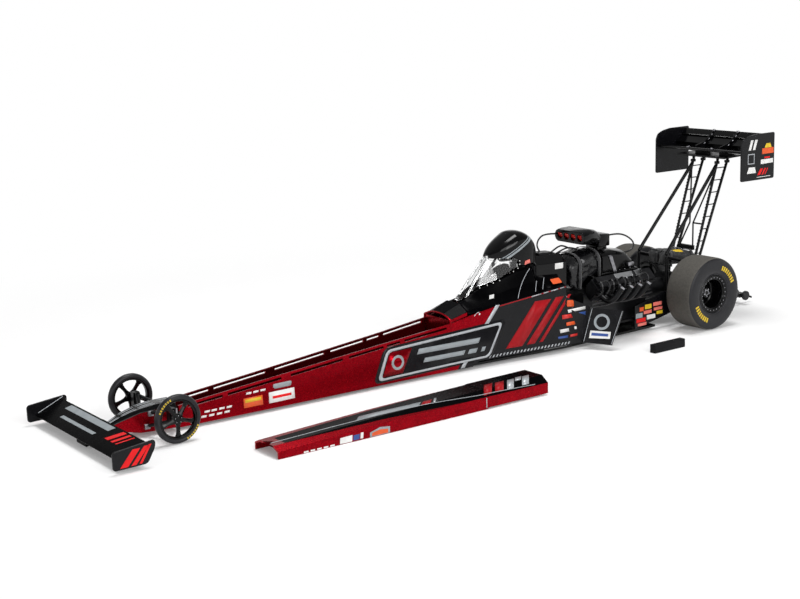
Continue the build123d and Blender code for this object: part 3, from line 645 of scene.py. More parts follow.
    def pierce(self, row: list[bmesh.types.BMVert], holes: list[Pair], radius: float, depth: float) -> "Form":
        """Closes an outline that lies across the car with a wall that has round holes.

        Args:
            row: The outline's vertices.
            holes: The holes' middles, as y and z.
            radius: The holes' radius.
            depth: How far the holes go in.

        Returns:
            This form.
        """
        x = row[0].co.x
        inside = set(row)
        edges = {e for v in row for e in v.link_edges if set(e.verts) <= inside}
        circles = []
        for y, z in holes:
            turns = [math.radians(15 * n) for n in range(24)]
            circle = self.ring([(x, y + radius * math.cos(a), z + radius * math.sin(a)) for a in turns])
            circles.append(circle)
            edges |= {e for v in circle for e in v.link_edges}
        bmesh.ops.triangle_fill(self.bm, use_beauty=True, use_dissolve=False, edges=list(edges))
        for circle in circles:
            self.bm.faces.new(self.extend(circle, [(x - depth, v.co.y, v.co.z) for v in circle]))
        return self

    def piece(
        self, name: str, finishes: Finish | list[Finish], body: str = "root",
        stands_for: tuple[str, ...] = (), bevel: float = 0.0, segments: int = 2, sharp: float = 34.0,
        smooth: int = 0, thick: float = 0.0, offset: float = -1.0,
    ) -> bpy.types.Object:
        """Finishes the mesh as one piece of the model.

        Args:
            name: The piece's name.
            finishes: Its finish, or its finishes in the order of the faces' indices.
            body: The body it moves with.
            stands_for: The solids it replaces.
            bevel: How far its sharp edges are rounded.
            segments: How many faces round each of them.
            sharp: The angle in degrees above which an edge counts as sharp.
            smooth: How many times it is subdivided.
            thick: The wall given to a sheet.
            offset: Which side the wall goes to.

        Returns:
            The piece.
        """
        finishes = finishes if isinstance(finishes, list) else [finishes]
        bmesh.ops.remove_doubles(self.bm, verts=self.bm.verts[:], dist=0.002)
        bmesh.ops.recalc_face_normals(self.bm, faces=self.bm.faces[:])
        bmesh.ops.scale(self.bm, vec=(MM, MM, MM), verts=self.bm.verts[:])
        mesh = bpy.data.meshes.new(name)
        self.bm.to_mesh(mesh)
        self.bm.free()
        mesh.shade_smooth()
        mesh.set_sharp_from_angle(angle=math.radians(sharp))
        made = bpy.data.objects.new(name, mesh)
        bpy.context.scene.collection.objects.link(made)
        for finish in finishes:
            mesh.materials.append(finish.material())
        if thick:
            wall = made.modifiers.new("wall", "SOLIDIFY")
            wall.thickness, wall.offset = thick * MM, offset
        if smooth:
            soft = made.modifiers.new("smooth", "SUBSURF")
            soft.levels = soft.render_levels = smooth
        if bevel:
            edge = made.modifiers.new("edges", "BEVEL")
            edge.width, edge.segments, edge.limit_method = bevel * MM, segments, "ANGLE"
            edge.angle_limit, edge.harden_normals = math.radians(sharp), True
        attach(made, body)
        if stands_for:
            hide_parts(*stands_for)
        LOG.info("%s on %s", name, body)
        return made


@dataclass(frozen=True)
class Flat:
    """A flat face of the car: a point and two directions in it, its outside along their cross product."""

    origin: Triple
    along: Triple
    up: Triple

    def at(self, u: float, v: float, lift: float = 0.0) -> Vector:
        """The place that lies u along and v up the face, lifted off it."""
        along = Vector(self.along).normalized()
        up = (Vector(self.up) - along * along.dot(Vector(self.up))).normalized()
        return Vector(self.origin) + along * u + up * v + along.cross(up) * lift

    def prints(self, outlines: Outlines, lift: float = 0.05, thick: float = 0.03) -> Form:
        """Thin marks or low plates on the face.

        Args:
            outlines: Each one's outline, as distances along and up the face.
            lift: How far they stand off the face.
            thick: How thick they are.

        Returns:
            The form.
        """
        form = Form()
        step = self.at(0.0, 0.0, thick) - self.at(0.0, 0.0)
        for outline in outlines:
            form.slab([self.at(u, v, lift) for u, v in outline], step)
        return form


@dataclass(frozen=True)
class Padding:
    """How a padded cloth piece swells and creases. It is worked out at 24 times the model's size."""

    enlarge: float = 24.0
    voxel: float = 0.45
    pressure: float = 4.0
    frames: int = 20
    cap: float = 0.6
    crease: float = 0.34
    crease_size: float = 5.5
    seed: int = 5

    def puff(self, form: Form) -> Form:
        """Swells a closed form as cloth and creases its skin.

        Args:
            form: The form, in millimetres.

        Returns:
            A new form.
        """
        scale = MM * self.enlarge
        bmesh.ops.recalc_face_normals(form.bm, faces=form.bm.faces[:])
        bmesh.ops.scale(form.bm, vec=(scale, scale, scale), verts=form.bm.verts[:])
        mesh = bpy.data.meshes.new("padding")
        form.bm.to_mesh(mesh)
        form.bm.free()
        holder = bpy.data.objects.new("padding", mesh)
        bpy.context.scene.collection.objects.link(holder)
        skin = holder.modifiers.new("skin", "REMESH")
        skin.mode, skin.voxel_size = "VOXEL", self.voxel * scale
        bake(holder)
        self.swell(holder, scale)
        made = Form()
        made.bm.from_mesh(holder.data)
        bpy.data.objects.remove(holder)
        bmesh.ops.scale(made.bm, vec=(1 / scale,) * 3, verts=made.bm.verts[:])
        made.bm.normal_update()
        noise.seed_set(self.seed)
        for vert in made.bm.verts:
            fold = noise.ridged_multi_fractal(
                vert.co / self.crease_size, 0.9, 2.1, 4, 0.9, 1.6, noise_basis="PERLIN_ORIGINAL")
            vert.co -= vert.normal * self.crease * min(fold, 2.0)
        return made

    def swell(self, holder: bpy.types.Object, scale: float) -> None:
        """Lets the skin swell under pressure, no point of it further than the cap.

        Args:
            holder: The object that is simulated.
            scale: Its metres for each of the model's millimetres.
        """
        rest = [v.co.copy() for v in holder.data.vertices]
        cloth = holder.modifiers.new("cloth", "CLOTH")
        cloth.settings.use_pressure, cloth.settings.uniform_pressure_force = True, self.pressure
        cloth.settings.effector_weights.gravity = 0.0
        for number in range(1, self.frames + 1):
            bpy.context.scene.frame_set(number)
        bake(holder)
        bpy.context.scene.frame_set(1)
        for vert, start in zip(holder.data.vertices, rest):
            move = vert.co - start
            if move.length > self.cap * scale:
                vert.co = start + move.normalized() * self.cap * scale


def dress(finish: Finish, *nodes: str) -> None:
    """Gives solids that keep their shape a better finish.

    Args:
        finish: The finish.
        nodes: The solids' names.
    """
    for name in nodes:
        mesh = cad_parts[name].data
        mesh.materials.clear()
        mesh.materials.append(finish.material())
        LOG.info("%s dressed in %s", name, finish.name)


@dataclass
class Studio:
    """The pale floor, the soft lamps and the camera."""

    eye: Triple = (0.5762647, 0.5468123, 0.1811515)
    yaw: float = -2.1927725
    pitch: float = -0.2085297
    roll: float = -0.0300816
    lens: float = 64.1247
    middle_x: float = 0.15
    floor_profile: Outline = (
        (0.0, 0.0), (1.0, 0.0), (2.6, 0.0), (3.4, 0.08), (3.8, 0.35), (4.0, 0.9), (4.0, 1.7))
    paper_tone: float = 0.97
    shadow_core: float = 0.17
    shadow_reach: float = 0.4
    near_glow: float = 0.14
    sky: float = 0.29
    lamps: tuple[tuple[str, Triple, Triple, float, float], ...] = (
        ("top_lamp", (0.0, 0.0, 1.3), (0.14, 0.0, 0.0), 0.5, 11.6),
        ("near_lamp", (0.45, 1.2, 0.75), (0.15, 0.0, 0.02), 0.6, 5.0),
        ("side_lamp", (0.06, 1.0, 0.44), (0.125, 0.0, 0.046), 0.32, 2.6),
        ("nose_lamp", (1.4, 0.1, 0.5), (0.2, 0.0, 0.02), 0.4, 1.8),
    )

    def build(self) -> None:
        """Builds all of it."""
        self.floor()
        self.light()
        self.camera()

    def floor(self) -> None:
        """A round floor that turns up into a low wall all round."""
        bm = bmesh.new()
        row = [bm.verts.new((r, 0.0, z)) for r, z in self.floor_profile]
        edges = [bm.edges.new(pair) for pair in zip(row, row[1:])]
        bmesh.ops.spin(
            bm, geom=row + edges, cent=(0.0, 0.0, 0.0), axis=UP, dvec=(0.0, 0.0, 0.0), angle=2 * math.pi,
            space=IDENTITY, steps=64, use_merge=True, use_duplicate=False, use_normal_flip=False)
        bmesh.ops.remove_doubles(bm, verts=bm.verts[:], dist=1e-5)
        bmesh.ops.translate(bm, verts=bm.verts[:], vec=(self.middle_x, 0.0, 0.0))
        mesh = bpy.data.meshes.new("studio_floor")
        bm.to_mesh(mesh)
        bm.free()
        mesh.shade_smooth()
        floor = bpy.data.objects.new("studio_floor", mesh)
        bpy.context.scene.collection.objects.link(floor)
        mesh.materials.append(self.paper())

    def paper(self) -> bpy.types.Material:
        """White paper: it keeps the shadows near the car and is plain white further off."""
        made = bpy.data.materials.new("studio_paper")
        made.use_nodes = True
        wire = Wiring(made.node_tree)
        shader = wire.nodes["Principled BSDF"]
        tone = (self.paper_tone, self.paper_tone, self.paper_tone, 1.0)
        for label, value in (("Base Color", tone), ("Roughness", 0.7), ("Specular IOR Level", 0.25)):
            shader.inputs[label].default_value = value
        glow = wire.add("Emission", {"Color": (1.0, 1.0, 1.0, 1.0)})["Emission"]
        back = {"Location": (-self.middle_x, 0.0, 0.0)}
        centred = wire.add("Mapping", back, {"Vector": wire.add("TexCoord")["Object"]})["Vector"]
        away = wire.add("VectorMath", None, {0: centred}, operation="LENGTH")["Value"]
        near = {"From Min": self.shadow_core, "From Max": self.shadow_reach, "To Min": self.near_glow}
        fade = wire.add("MapRange", near, {"Value": away}, interpolation_type="SMOOTHSTEP")["Result"]
        path = wire.add("LightPath")
        seen = path["Is Camera Ray"]
        for ray in ("Is Glossy Ray", "Is Transmission Ray"):
            seen = wire.add("Math", None, {0: seen, 1: path[ray]}, operation="MAXIMUM")[0]
        share = wire.add("Math", None, {0: seen, 1: fade}, operation="MULTIPLY")[0]
        mix = wire.add("MixShader", None, {"Fac": share, 1: shader.outputs["BSDF"], 2: glow})
        wire.link(mix["Shader"], wire.nodes["Material Output"].inputs["Surface"])
        return made

    def light(self) -> None:
        """An even sky and the soft lamps."""
        world = bpy.data.worlds.new("studio_sky")
        bpy.context.scene.world = world
        world.use_nodes = True
        back = world.node_tree.nodes["Background"]
        back.inputs["Color"].default_value = (1.0, 1.0, 1.0, 1.0)
        back.inputs["Strength"].default_value = self.sky
        for name, place, aim, size, power in self.lamps:
            lamp = bpy.data.lights.new(name, "AREA")
            lamp.shape, lamp.size, lamp.energy = "SQUARE", size, power
            holder = bpy.data.objects.new(name, lamp)
            turn = (Vector(aim) - Vector(place)).to_track_quat("-Z", "Y")
            holder.matrix_world = Matrix.Translation(place) @ turn.to_matrix().to_4x4()
            bpy.context.scene.collection.objects.link(holder)

    def camera(self) -> None:
        """The camera where the photograph was taken from."""
        flat = math.cos(self.pitch)
        ahead = Vector((math.cos(self.yaw) * flat, math.sin(self.yaw) * flat, math.sin(self.pitch)))
        side = ahead.cross(UP).normalized()
        up = side.cross(ahead)
        right = side * math.cos(self.roll) + up * math.sin(self.roll)
        top = up * math.cos(self.roll) - side * math.sin(self.roll)
        data = bpy.data.cameras.new("photo_camera")
        data.lens, data.sensor_width, data.clip_start = self.lens, 36.0, 0.01
        holder = bpy.data.objects.new("photo_camera", data)
        turn = Matrix((right, top, -ahead)).transposed().to_4x4()
        holder.matrix_world = Matrix.Translation(self.eye) @ turn
        bpy.context.scene.collection.objects.link(holder)
        bpy.context.scene.camera = holder


@dataclass(frozen=True)
class SideRow:
    """One station of the body's side."""

    x: float
    top: float
    bottom: float
    high: float
    low: float
    crease: float
    bulge: float


@dataclass
class BodySide:
    """Both side panels with their slots, creases and printed marks."""

    rows: tuple[SideRow, ...] = (
        SideRow(308.5, 6.2, 7.0, 11.2, 1.5, 2.0, 0.1),
        SideRow(254.0, 7.2, 8.8, 16.2, 1.5, 2.6, 0.3),
        SideRow(192.0, 8.9, 10.2, 22.0, 1.5, 3.5, 0.35),
        SideRow(162.6, 10.6, 11.3, 24.9, 1.5, 3.5, 0.35),
        SideRow(150.0, 11.5, 12.2, 27.4, 1.5, 3.5, 0.2),
        SideRow(146.0, 11.7, 12.4, 28.1, 3.7, 3.5, 0.15),
        SideRow(132.0, 12.5, 13.4, 30.2, 3.7, 3.5, 0.0),
        SideRow(91.3, 16.4, 17.8, 34.8, 3.7, 3.5, 0.0),
    )
    sill: float = 1.8
    sill_dip: float = 0.22
    skin: float = 0.9
    slots: Outline = ((304.0, 287.0), (284.5, 257.0), (252.0, 224.0), (220.5, 201.0), (199.0, 191.5),
                               (189.0, 164.5))
    slot_middle: float = 1.6
    slot_half: float = 0.55
    tail: Outline = ((91.3, 28.7), (74.6, 21.4), (80.7, 3.7))
    split_foot: Pair = (159.0, 1.5)
    split_top: Pair = (133.5, 31.5)
    lean: float = -0.853
    station: float = 6.0
    layers: tuple[float, ...] = (0.05, 0.1, 0.15)
    clip_place: Pair = (144.8, 27.4)
    clip_wire: Route = ((3.6, 0.2, -0.6), (2.4, 0.9, 1.2), (0.9, 0.8, 1.3), (0.1, 0.2, 0.3))
    edge_gap: float = 0.25
    roundel: Pair = (193.6, 10.9)

    def row_at(self, x: float) -> SideRow:
        """The station at any x, by straight lines between the given ones."""
        rows = self.rows
        for a, b in zip(rows, rows[1:]):
            if b.x <= x <= a.x:
                t = (a.x - x) / (a.x - b.x)
                mix = [p + (q - p) * t for p, q in zip(vars(a).values(), vars(b).values())]
                return SideRow(*mix)
        return rows[0] if x > rows[0].x else rows[-1]

    def depth(self, x: float, z: float) -> float:
        """Half width of the body's surface at x, z."""
        row = self.row_at(x)
        share = (z - row.low) / (row.high - row.low)
        flat = row.bottom + (row.top - row.bottom) * share
        bends = [(row.low, 0.0), (row.low + self.sill, -self.sill_dip), (row.high - row.crease, row.bulge),
                 (row.high, 0.0)]
        for (z1, b1), (z2, b2) in zip(bends, bends[1:]):
            if z1 <= z <= z2:
                return flat + b1 + (b2 - b1) * (z - z1) / (z2 - z1)
        return flat

    def wrap(self, form: Form, lift: float = 0.0) -> Form:
        """Lays a flat form drawn in x, z onto the body's side.

        Args:
            form: The form, at y zero.
            lift: How far it stands off the surface.

        Returns:
            The same form.
        """
        front, rear = self.rows[0].x, self.rows[-1].x
        stations = [row.x for row in self.rows[1:-1]]
        stations += [rear + self.station * n for n in range(1, int((front - rear) / self.station))]
        low = min(v.co.x for v in form.bm.verts)
        high = max(v.co.x for v in form.bm.verts)
        for x in stations:
            if low < x < high:
                form.cut((x, 0, 0), (1, 0, 0))
        for a, b in zip(self.rows, self.rows[1:]):
            for start, end in (((a.x, a.low + self.sill), (b.x, b.low + self.sill)),
                               ((a.x, a.high - a.crease), (b.x, b.high - b.crease))):
                span = [f for f in form.bm.faces if b.x < middle(f).x < a.x]
                line = Vector((end[0] - start[0], 0, end[1] - start[1]))
                form.cut((start[0], 0, start[1]), line.cross(Vector((0, 1, 0))), span)
        for vert in form.bm.verts:
            vert.co.y = self.depth(vert.co.x, vert.co.z) + lift
        return form

    def outline(self) -> list[Triple]:
        """The side's outline in x, z."""
        high = [(row.x, 0.0, row.high) for row in self.rows]
        low = [(row.x, 0.0, row.low) for row in reversed(self.rows[:-1])]
        return high + [(x, 0.0, z) for x, z in self.tail] + low

    def panel(self) -> Form:
        """The left side panel, red ahead of the slanted line and black behind it."""
        form = Form()
        form.bm.faces.new(form.ring(self.outline()))
        (fx, fz), (tx, tz) = self.split_foot, self.split_top
        form.cut((fx, 0, fz), Vector((tx - fx, 0, tz - fz)).cross(Vector((0, 1, 0))))
        for front, rear in self.slots:
            form.cut((front, 0, 0), (1, 0, 0)).cut((rear, 0, 0), (1, 0, 0))
            a, b = self.row_at(front).high - self.slot_middle, self.row_at(rear).high - self.slot_middle
            normal = Vector((rear - front, 0, b - a)).cross(Vector((0, 1, 0)))
            for edge in (-self.slot_half, self.slot_half):
                span = [f for f in form.bm.faces if rear < middle(f).x < front]
                form.cut((front, 0, a + edge), normal, span)
            holes = []
            for face in form.bm.faces:
                spot = middle(face)
                line = a + (b - a) * (front - spot.x) / (front - rear)
                if rear < spot.x < front and abs(spot.z - line) < self.slot_half:
                    holes.append(face)
            bmesh.ops.delete(form.bm, geom=holes, context="FACES")
        self.wrap(form)
        slope = (tx - fx) / (tz - fz)
        return form.paint(1, lambda f: middle(f).x < fx + (middle(f).z - fz) * slope)

    def both(self, make: Callable[[], Form], name: str, finish: Finish | list[Finish], **more) -> None:
        """Makes a piece on the left and the same on the right.

        Args:
            make: Builds the left one's form.
            name: The pieces' name, without their side.
            finish: Their finish or finishes.
            more: What else the piece needs; a solid's name in it has its side added.
        """
        solids = more.pop("stands_for", ())
        for side in ("left", "right"):
            make().on(side).piece(
                f"{name}_{side}", finish, stands_for=tuple(f"{s}_{side}" for s in solids), **more)

    def prints(self, outlines: Outlines, lift: float) -> Form:
        """Thin printed marks on the left side.

        Args:
            outlines: Each mark's outline in x, z.
            lift: How far they stand off the surface.

        Returns:
            The form.
        """
        form = Form()
        for outline in outlines:
            form.bm.faces.new(form.ring([(x, 0.0, z) for x, z in outline]))
        return self.wrap(form, lift)

    def build(self) -> None:
        """Builds the panels and everything printed or fixed on them."""
        self.both(
            self.panel, "body_side", [RED, PANEL], stands_for=("side_panel",), thick=self.skin, bevel=0.14)
        for name, (finish, layer, outlines) in self.marks().items():
            self.both(lambda: self.prints(outlines, self.layers[layer]), name, finish, thick=0.03, offset=0.0)
        self.both(self.clips, "side_clips", [CHROME, STEEL])

    def clips(self) -> Form:
        """The body clip at the upper edge: a round head with a bent wire."""
        x, z = self.clip_place
        y = self.depth(x, z)
        form = Form().ball((x, y + 0.15, z), 0.5, (1, 0.6, 1), 6)
        return form.hose([(x + dx, y + dy, z + dz) for dx, dy, dz in self.clip_wire], 0.16)

    def edge_bar(self, x: float, length: float, drop: float) -> list[Pair]:
        """Outline of a bar just under the side's upper edge.

        Args:
            x: Its front end.
            length: How far it runs back.
            drop: How far under the edge its lower side lies.

        Returns:
            The outline in x, z.
        """
        front, rear = self.row_at(x).high, self.row_at(x - length).high
        gap = self.edge_gap
        return [(x, front - drop), (x, front - gap), (x - length, rear - gap), (x - length, rear - drop)]

    def marks(self) -> dict[str, tuple[Finish, int, Outlines]]:
        """Every printed mark of the side, as finish, layer and outlines."""
        lean = self.lean
        outer = round_corners([(199.6, 17.9), (205.6, 3.4), (139.4, 4.9), (130.6, 21.6)], 2.6)
        inner = round_corners([(198.4, 16.7), (203.4, 4.5), (140.3, 5.9), (132.4, 20.3)], 2.0)
        return {
            "side_plaque": (
                PANEL, 0, [round_corners([(201.2, 19.0), (208.0, 2.4), (138.2, 3.9), (128.4, 22.9)], 3.2)]),
            "side_plaque_end": (
                RED, 1, [round_corners([(198.0, 16.3), (202.6, 5.0), (191.0, 5.3), (185.2, 16.8)], 0.4)]),
            "side_plaque_line": (SILVER, 2, ring_outlines(outer, inner)),
            "side_plaque_bars": (
                GREY, 1,
                [
                    slant(front, rear, low, high, lean * 0.6)
                    for front, rear, low, high in (
                        (182.5, 146.0, 13.0, 15.6), (179.0, 155.0, 8.4, 10.6), (152.6, 147.6, 8.4, 10.6),
                        (144.8, 142.6, 8.4, 10.6))]),
            "side_plaque_roundel": (
                GREY, 2, ring_outlines(round_outline(self.roundel, 3.6), round_outline(self.roundel, 2.3))),
            "side_bar": (
                SILVER, 1, [slant(142.0, 139.4, 21.9, 30.4, lean), slant(157.3, 154.9, 1.8, 5.0, lean)]),
            "side_speed_bars": (
                STRIPE_RED, 0,
                [
                    slant(129.5, 119.5, 7.4, 29.2, lean), slant(116.8, 111.8, 7.6, 29.6, lean),
                    slant(109.1, 106.9, 7.8, 30.0, lean)]),
            "side_top_line": (
                STRIPE_RED, 0, [self.edge_bar(x, 10.2, 0.75) for x in (132.4, 122.2, 112.0, 101.8)]),
            "side_top_dashes": (
                SILVER, 1,
                [self.edge_bar(x, w, 0.7) for x, w in ((113.0, 6.0), (105.5, 3.0), (101.0, 4.6), (95.2, 2.6))]
            ),
            "side_edge_dashes": (
                SILVER, 0, [slant(140.0 - 2.1 * n, 139.1 - 2.1 * n, 4.3, 5.5, lean) for n in range(24)]),
            "side_patch_grey": (
                GREY, 0, [round_corners([(261.9, 12.3), (251.9, 12.5), (252.4, 10.2), (261.4, 10.1)], 0.9)]),
            "side_patch_white": (WHITE, 0, [[(264.1, 8.9), (250.9, 9.1), (250.9, 4.1), (264.3, 3.9)]]),
            "side_patch_band": (BRIGHT_RED, 1, [[(262.4, 6.9), (252.6, 7.0), (252.6, 5.8), (262.4, 5.7)]]),
            "side_patch_orange": (ORANGE, 0, [[(277.0, 8.4), (267.4, 8.5), (267.4, 4.1), (277.1, 4.0)]]),
            "side_patch_yellow": (YELLOW, 1, [[(276.2, 7.8), (268.2, 7.9), (268.2, 6.4), (276.3, 6.3)]]),
            "side_front_marks": (
                WHITE, 0,
                [
                    slant(a, a - 2.6, z, z + 0.9, -0.3)
                    for a, z in (
                        (296.6, 5.6), (293.2, 5.6), (289.4, 5.7), (285.8, 5.7), (298.4, 3.6), (294.6, 3.6),
                        (290.8, 3.6), (287.0, 3.7), (275.6, 10.0), (272.0, 10.1), (268.4, 10.2))]),
            "rear_patches_white": (
                WHITE, 0,
                [
                    [(90.8, 22.1), (78.4, 22.2), (78.6, 20.7), (90.4, 20.5)],
                    [(96.1, 12.4), (90.4, 12.5), (90.2, 10.8), (95.8, 10.6)],
                    [(86.6, 12.7), (80.6, 12.8), (80.8, 11.4), (86.4, 11.2)]]),
            "rear_patches_orange": (
                ORANGE, 0,
                [
                    round_corners([(91.0, 27.2), (86.6, 26.6), (86.2, 23.2), (91.4, 23.8)], 0.8),
                    [(92.0, 15.6), (84.8, 15.6), (85.0, 13.8), (91.8, 13.8)]]),
            "rear_patches_yellow": (YELLOW, 0, [[(84.0, 15.6), (79.2, 15.6), (79.4, 14.0), (84.1, 13.9)]]),
            "rear_patches_blue": (
                BLUE, 0,
                [
                    [(97.4, 8.9), (91.2, 8.9), (91.2, 7.7), (97.2, 7.7)],
                    [(84.4, 19.6), (78.4, 19.5), (78.6, 17.4), (84.4, 17.4)]]),
            "rear_patches_red": (
                SCARLET, 0,
                [
                    [(94.5, 19.8), (86.0, 19.6), (86.0, 17.6), (94.3, 17.6)],
                    [(89.6, 8.9), (84.4, 8.9), (84.6, 7.7), (89.6, 7.7)]]),
        }


def slant(front: float, rear: float, low: float, high: float, lean: float) -> list[Pair]:
    """Outline of a bar that leans along the car.

    Args:
        front: Its front edge's foot.
        rear: Its rear edge's foot.
        low: Its lower end.
        high: Its upper end.
        lean: How far x changes for each step up.

    Returns:
        The outline in x, z.
    """
    shift = (high - low) * lean
    return [(front, low), (front + shift, high), (rear + shift, high), (rear, low)]


def oblong(x: float, z: float, wide: float, tall: float) -> list[Pair]:
    """Outline of an upright oblong.

    Args:
        x: Its middle along the car.
        z: Its middle's height.
        wide: Its length along the car.
        tall: Its height.

    Returns:
        The outline in x, z.
    """
    u, v = wide / 2, tall / 2
    return [(x - u, z - v), (x + u, z - v), (x + u, z + v), (x - u, z + v)]


def upright(outlines: Outlines, y: float, thick: float = 0.04) -> Form:
    """Thin marks on both upright sides of the car.

    Args:
        outlines: Each mark's outline in x, z.
        y: How far out they lie.
        thick: How thick they are.

    Returns:
        The form.
    """
    form = Form()
    for outline in outlines:
        form.wall(outline, y, y + thick)
    return form.mirrored()


def round_corners(corners: list[Pair], radius: float) -> list[Pair]:
    """Rounds the corners of a flat outline.

    Args:
        corners: The outline's corners.
        radius: How far each is rounded.

    Returns:
        The rounded outline.
    """
    bm = bmesh.new()
    verts = [bm.verts.new((x, 0.0, z)) for x, z in corners]
    bm.faces.new(verts)
    bmesh.ops.bevel(bm, geom=verts, offset=radius, offset_type="OFFSET", segments=5, profile=0.5,
                    affect="VERTICES", material=-1, clamp_overlap=True)
    rounded = [(loop.vert.co.x, loop.vert.co.z) for loop in max(bm.faces, key=lambda f: len(f.verts)).loops]
    bm.free()
    return rounded


def round_outline(centre: Pair, radius: float) -> list[Pair]:
    """A round outline.

    Args:
        centre: Its middle.
        radius: Its radius.

    Returns:
        The outline.
    """
    turns = [2 * math.pi * n / 28 for n in range(28)]
    return [(centre[0] + radius * math.cos(a), centre[1] + radius * math.sin(a)) for a in turns]


def ring_outlines(outer: list[Pair], inner: list[Pair]) -> Outlines:
    """Splits the band between two like outlines into four sided marks.

    Args:
        outer: The outer outline.
        inner: The inner outline, with as many points.

    Returns:
        The marks, in order round the band.
    """
    count = len(outer)
    return [[outer[n], outer[(n + 1) % count], inner[(n + 1) % count], inner[n]] for n in range(count)]


@dataclass(frozen=True)
class Studs:
    """A ring of hexagonal heads about a wheel's axis."""

    circle: float
    low: float
    high: float
    radius: float
    count: int
    first: float

    def add(self, form: Form, centre: Triple) -> None:
        """Adds them to a form.

        Args:
            form: The wheel's form.
            centre: The wheel's centre.
        """
        x, y, z = centre
        head = Form().rod(
            (x + self.circle, y + self.low, z), (x + self.circle, y + self.high, z), self.radius, sides=6)
        form.around(head, centre, self.count, self.first)


@dataclass(frozen=True)
class WallMarks:
    """Short painted marks on a tyre's outer wall, in two groups opposite each other."""

    low: float
    high: float
    foot: float
    thick: float
    sweep: float
    pitch: float
    count: int
    first: float

    def form(self, centre: Triple) -> Form:
        """Builds them round a wheel's centre."""
        form = Form()
        for n in range(self.count):
            for turn in (0.0, 180.0):
                block = sector(centre, self.low, self.high, centre[1] + self.foot, self.thick, self.sweep)
                form.around(block, centre, 1, self.first + turn + self.pitch * n)
        return form


@dataclass
class RearWheels:
    """The two wide rear tyres on their rims."""

    centre: Triple = (0.0, 16.7, 19.7)
    width: float = 18.0
    shoulder: Outline = (
        (10.2, 0.9), (10.7, 0.45), (11.2, 0.75), (12.0, 0.35), (13.2, 0.12), (15.0, 0.02), (17.0, 0.0),
        (18.1, 0.16), (18.8, 0.42), (19.25, 0.85), (19.5, 1.5), (19.64, 2.4), (19.7, 3.6),
    )
    rim_profile: Outline = (
        (0.0, 12.3), (1.1, 12.3), (1.3, 12.0), (2.6, 11.9), (3.0, 11.5), (3.1, 9.6), (3.5, 9.2), (5.4, 9.0),
        (6.9, 8.7), (7.4, 9.1), (7.6, 10.0), (7.6, 15.4), (7.9, 16.1), (8.3, 16.3), (8.5, 16.75),
        (9.5, 17.05), (10.0, 17.1), (10.2, 16.9), (10.2, 1.1), (10.0, 0.9), (8.6, 0.9), (8.1, 1.8),
        (7.7, 6.4), (3.6, 7.2), (3.2, 6.2), (1.65, 6.2),
    )
    tread_radius: float = 19.3
    bolts: Studs = Studs(9.0, 16.7, 17.25, 0.3, 24, 0.0)
    nuts: Studs = Studs(2.05, 11.8, 12.35, 0.42, 5, 18.0)
    marks: WallMarks = WallMarks(13.4, 15.9, 17.94, 0.09, 3.9, 6.4, 8, 20.0)

    def tyre(self) -> Form:
        """One tyre, closed all round."""
        half = list(self.shoulder)
        profile = half + [(r, self.width - h) for r, h in reversed(half)]
        form = Form().lathe(profile + profile[:1], self.centre, 112)
        cx, _, cz = self.centre
        return form.paint(1, lambda f: math.hypot(middle(f).x - cx, middle(f).z - cz) > self.tread_radius)

    def rim(self) -> Form:
        """One rim with its bead ring bolts and wheel nuts."""
        form = Form().lathe(list(self.rim_profile), self.centre, 72)
        plain = set(form.bm.faces)
        self.bolts.add(form, self.centre)
        self.nuts.add(form, self.centre)
        return form.paint(1, lambda f: f not in plain)

    def build(self) -> None:
        """Builds both wheels on the rear axle."""
        for side in ("left", "right"):
            self.tyre().on(side).piece(
                f"rear_tyre_{side}_skin", [SIDEWALL, TREAD], "rear_axle", (f"rear_{side}_tyre",), sharp=50)
            self.rim().on(side).piece(
                f"rear_rim_{side}_disc", [GLOSS, STEEL], "rear_axle", (f"rear_{side}_rim",), sharp=30)
            self.marks.form(self.centre).on(side).piece(f"rear_tyre_{side}_marks", YELLOW, "rear_axle")


def sector(centre: Triple, low: float, high: float, y: float, thick: float, sweep: float) -> Form:
    """A thin block that follows a circle about a line along y.

    Args:
        centre: The circle's middle.
        low: The block's inner radius.
        high: Its outer radius.
        y: The height of its foot.
        thick: Its thickness.
        sweep: The angle in degrees that it covers.

    Returns:
        The form.
    """
    form = Form()
    x, _, z = centre
    row = form.ring([(x + low, y, z), (x + high, y, z), (x + high, y + thick, z), (x + low, y + thick, z)])
    face = form.bm.faces.new(row)
    bmesh.ops.spin(
        form.bm, geom=[face, *face.edges, *face.verts], cent=centre, axis=(0, 1, 0), dvec=(0, 0, 0),
        angle=math.radians(sweep), space=IDENTITY, steps=4, use_merge=False, use_duplicate=False,
        use_normal_flip=False)
    return form


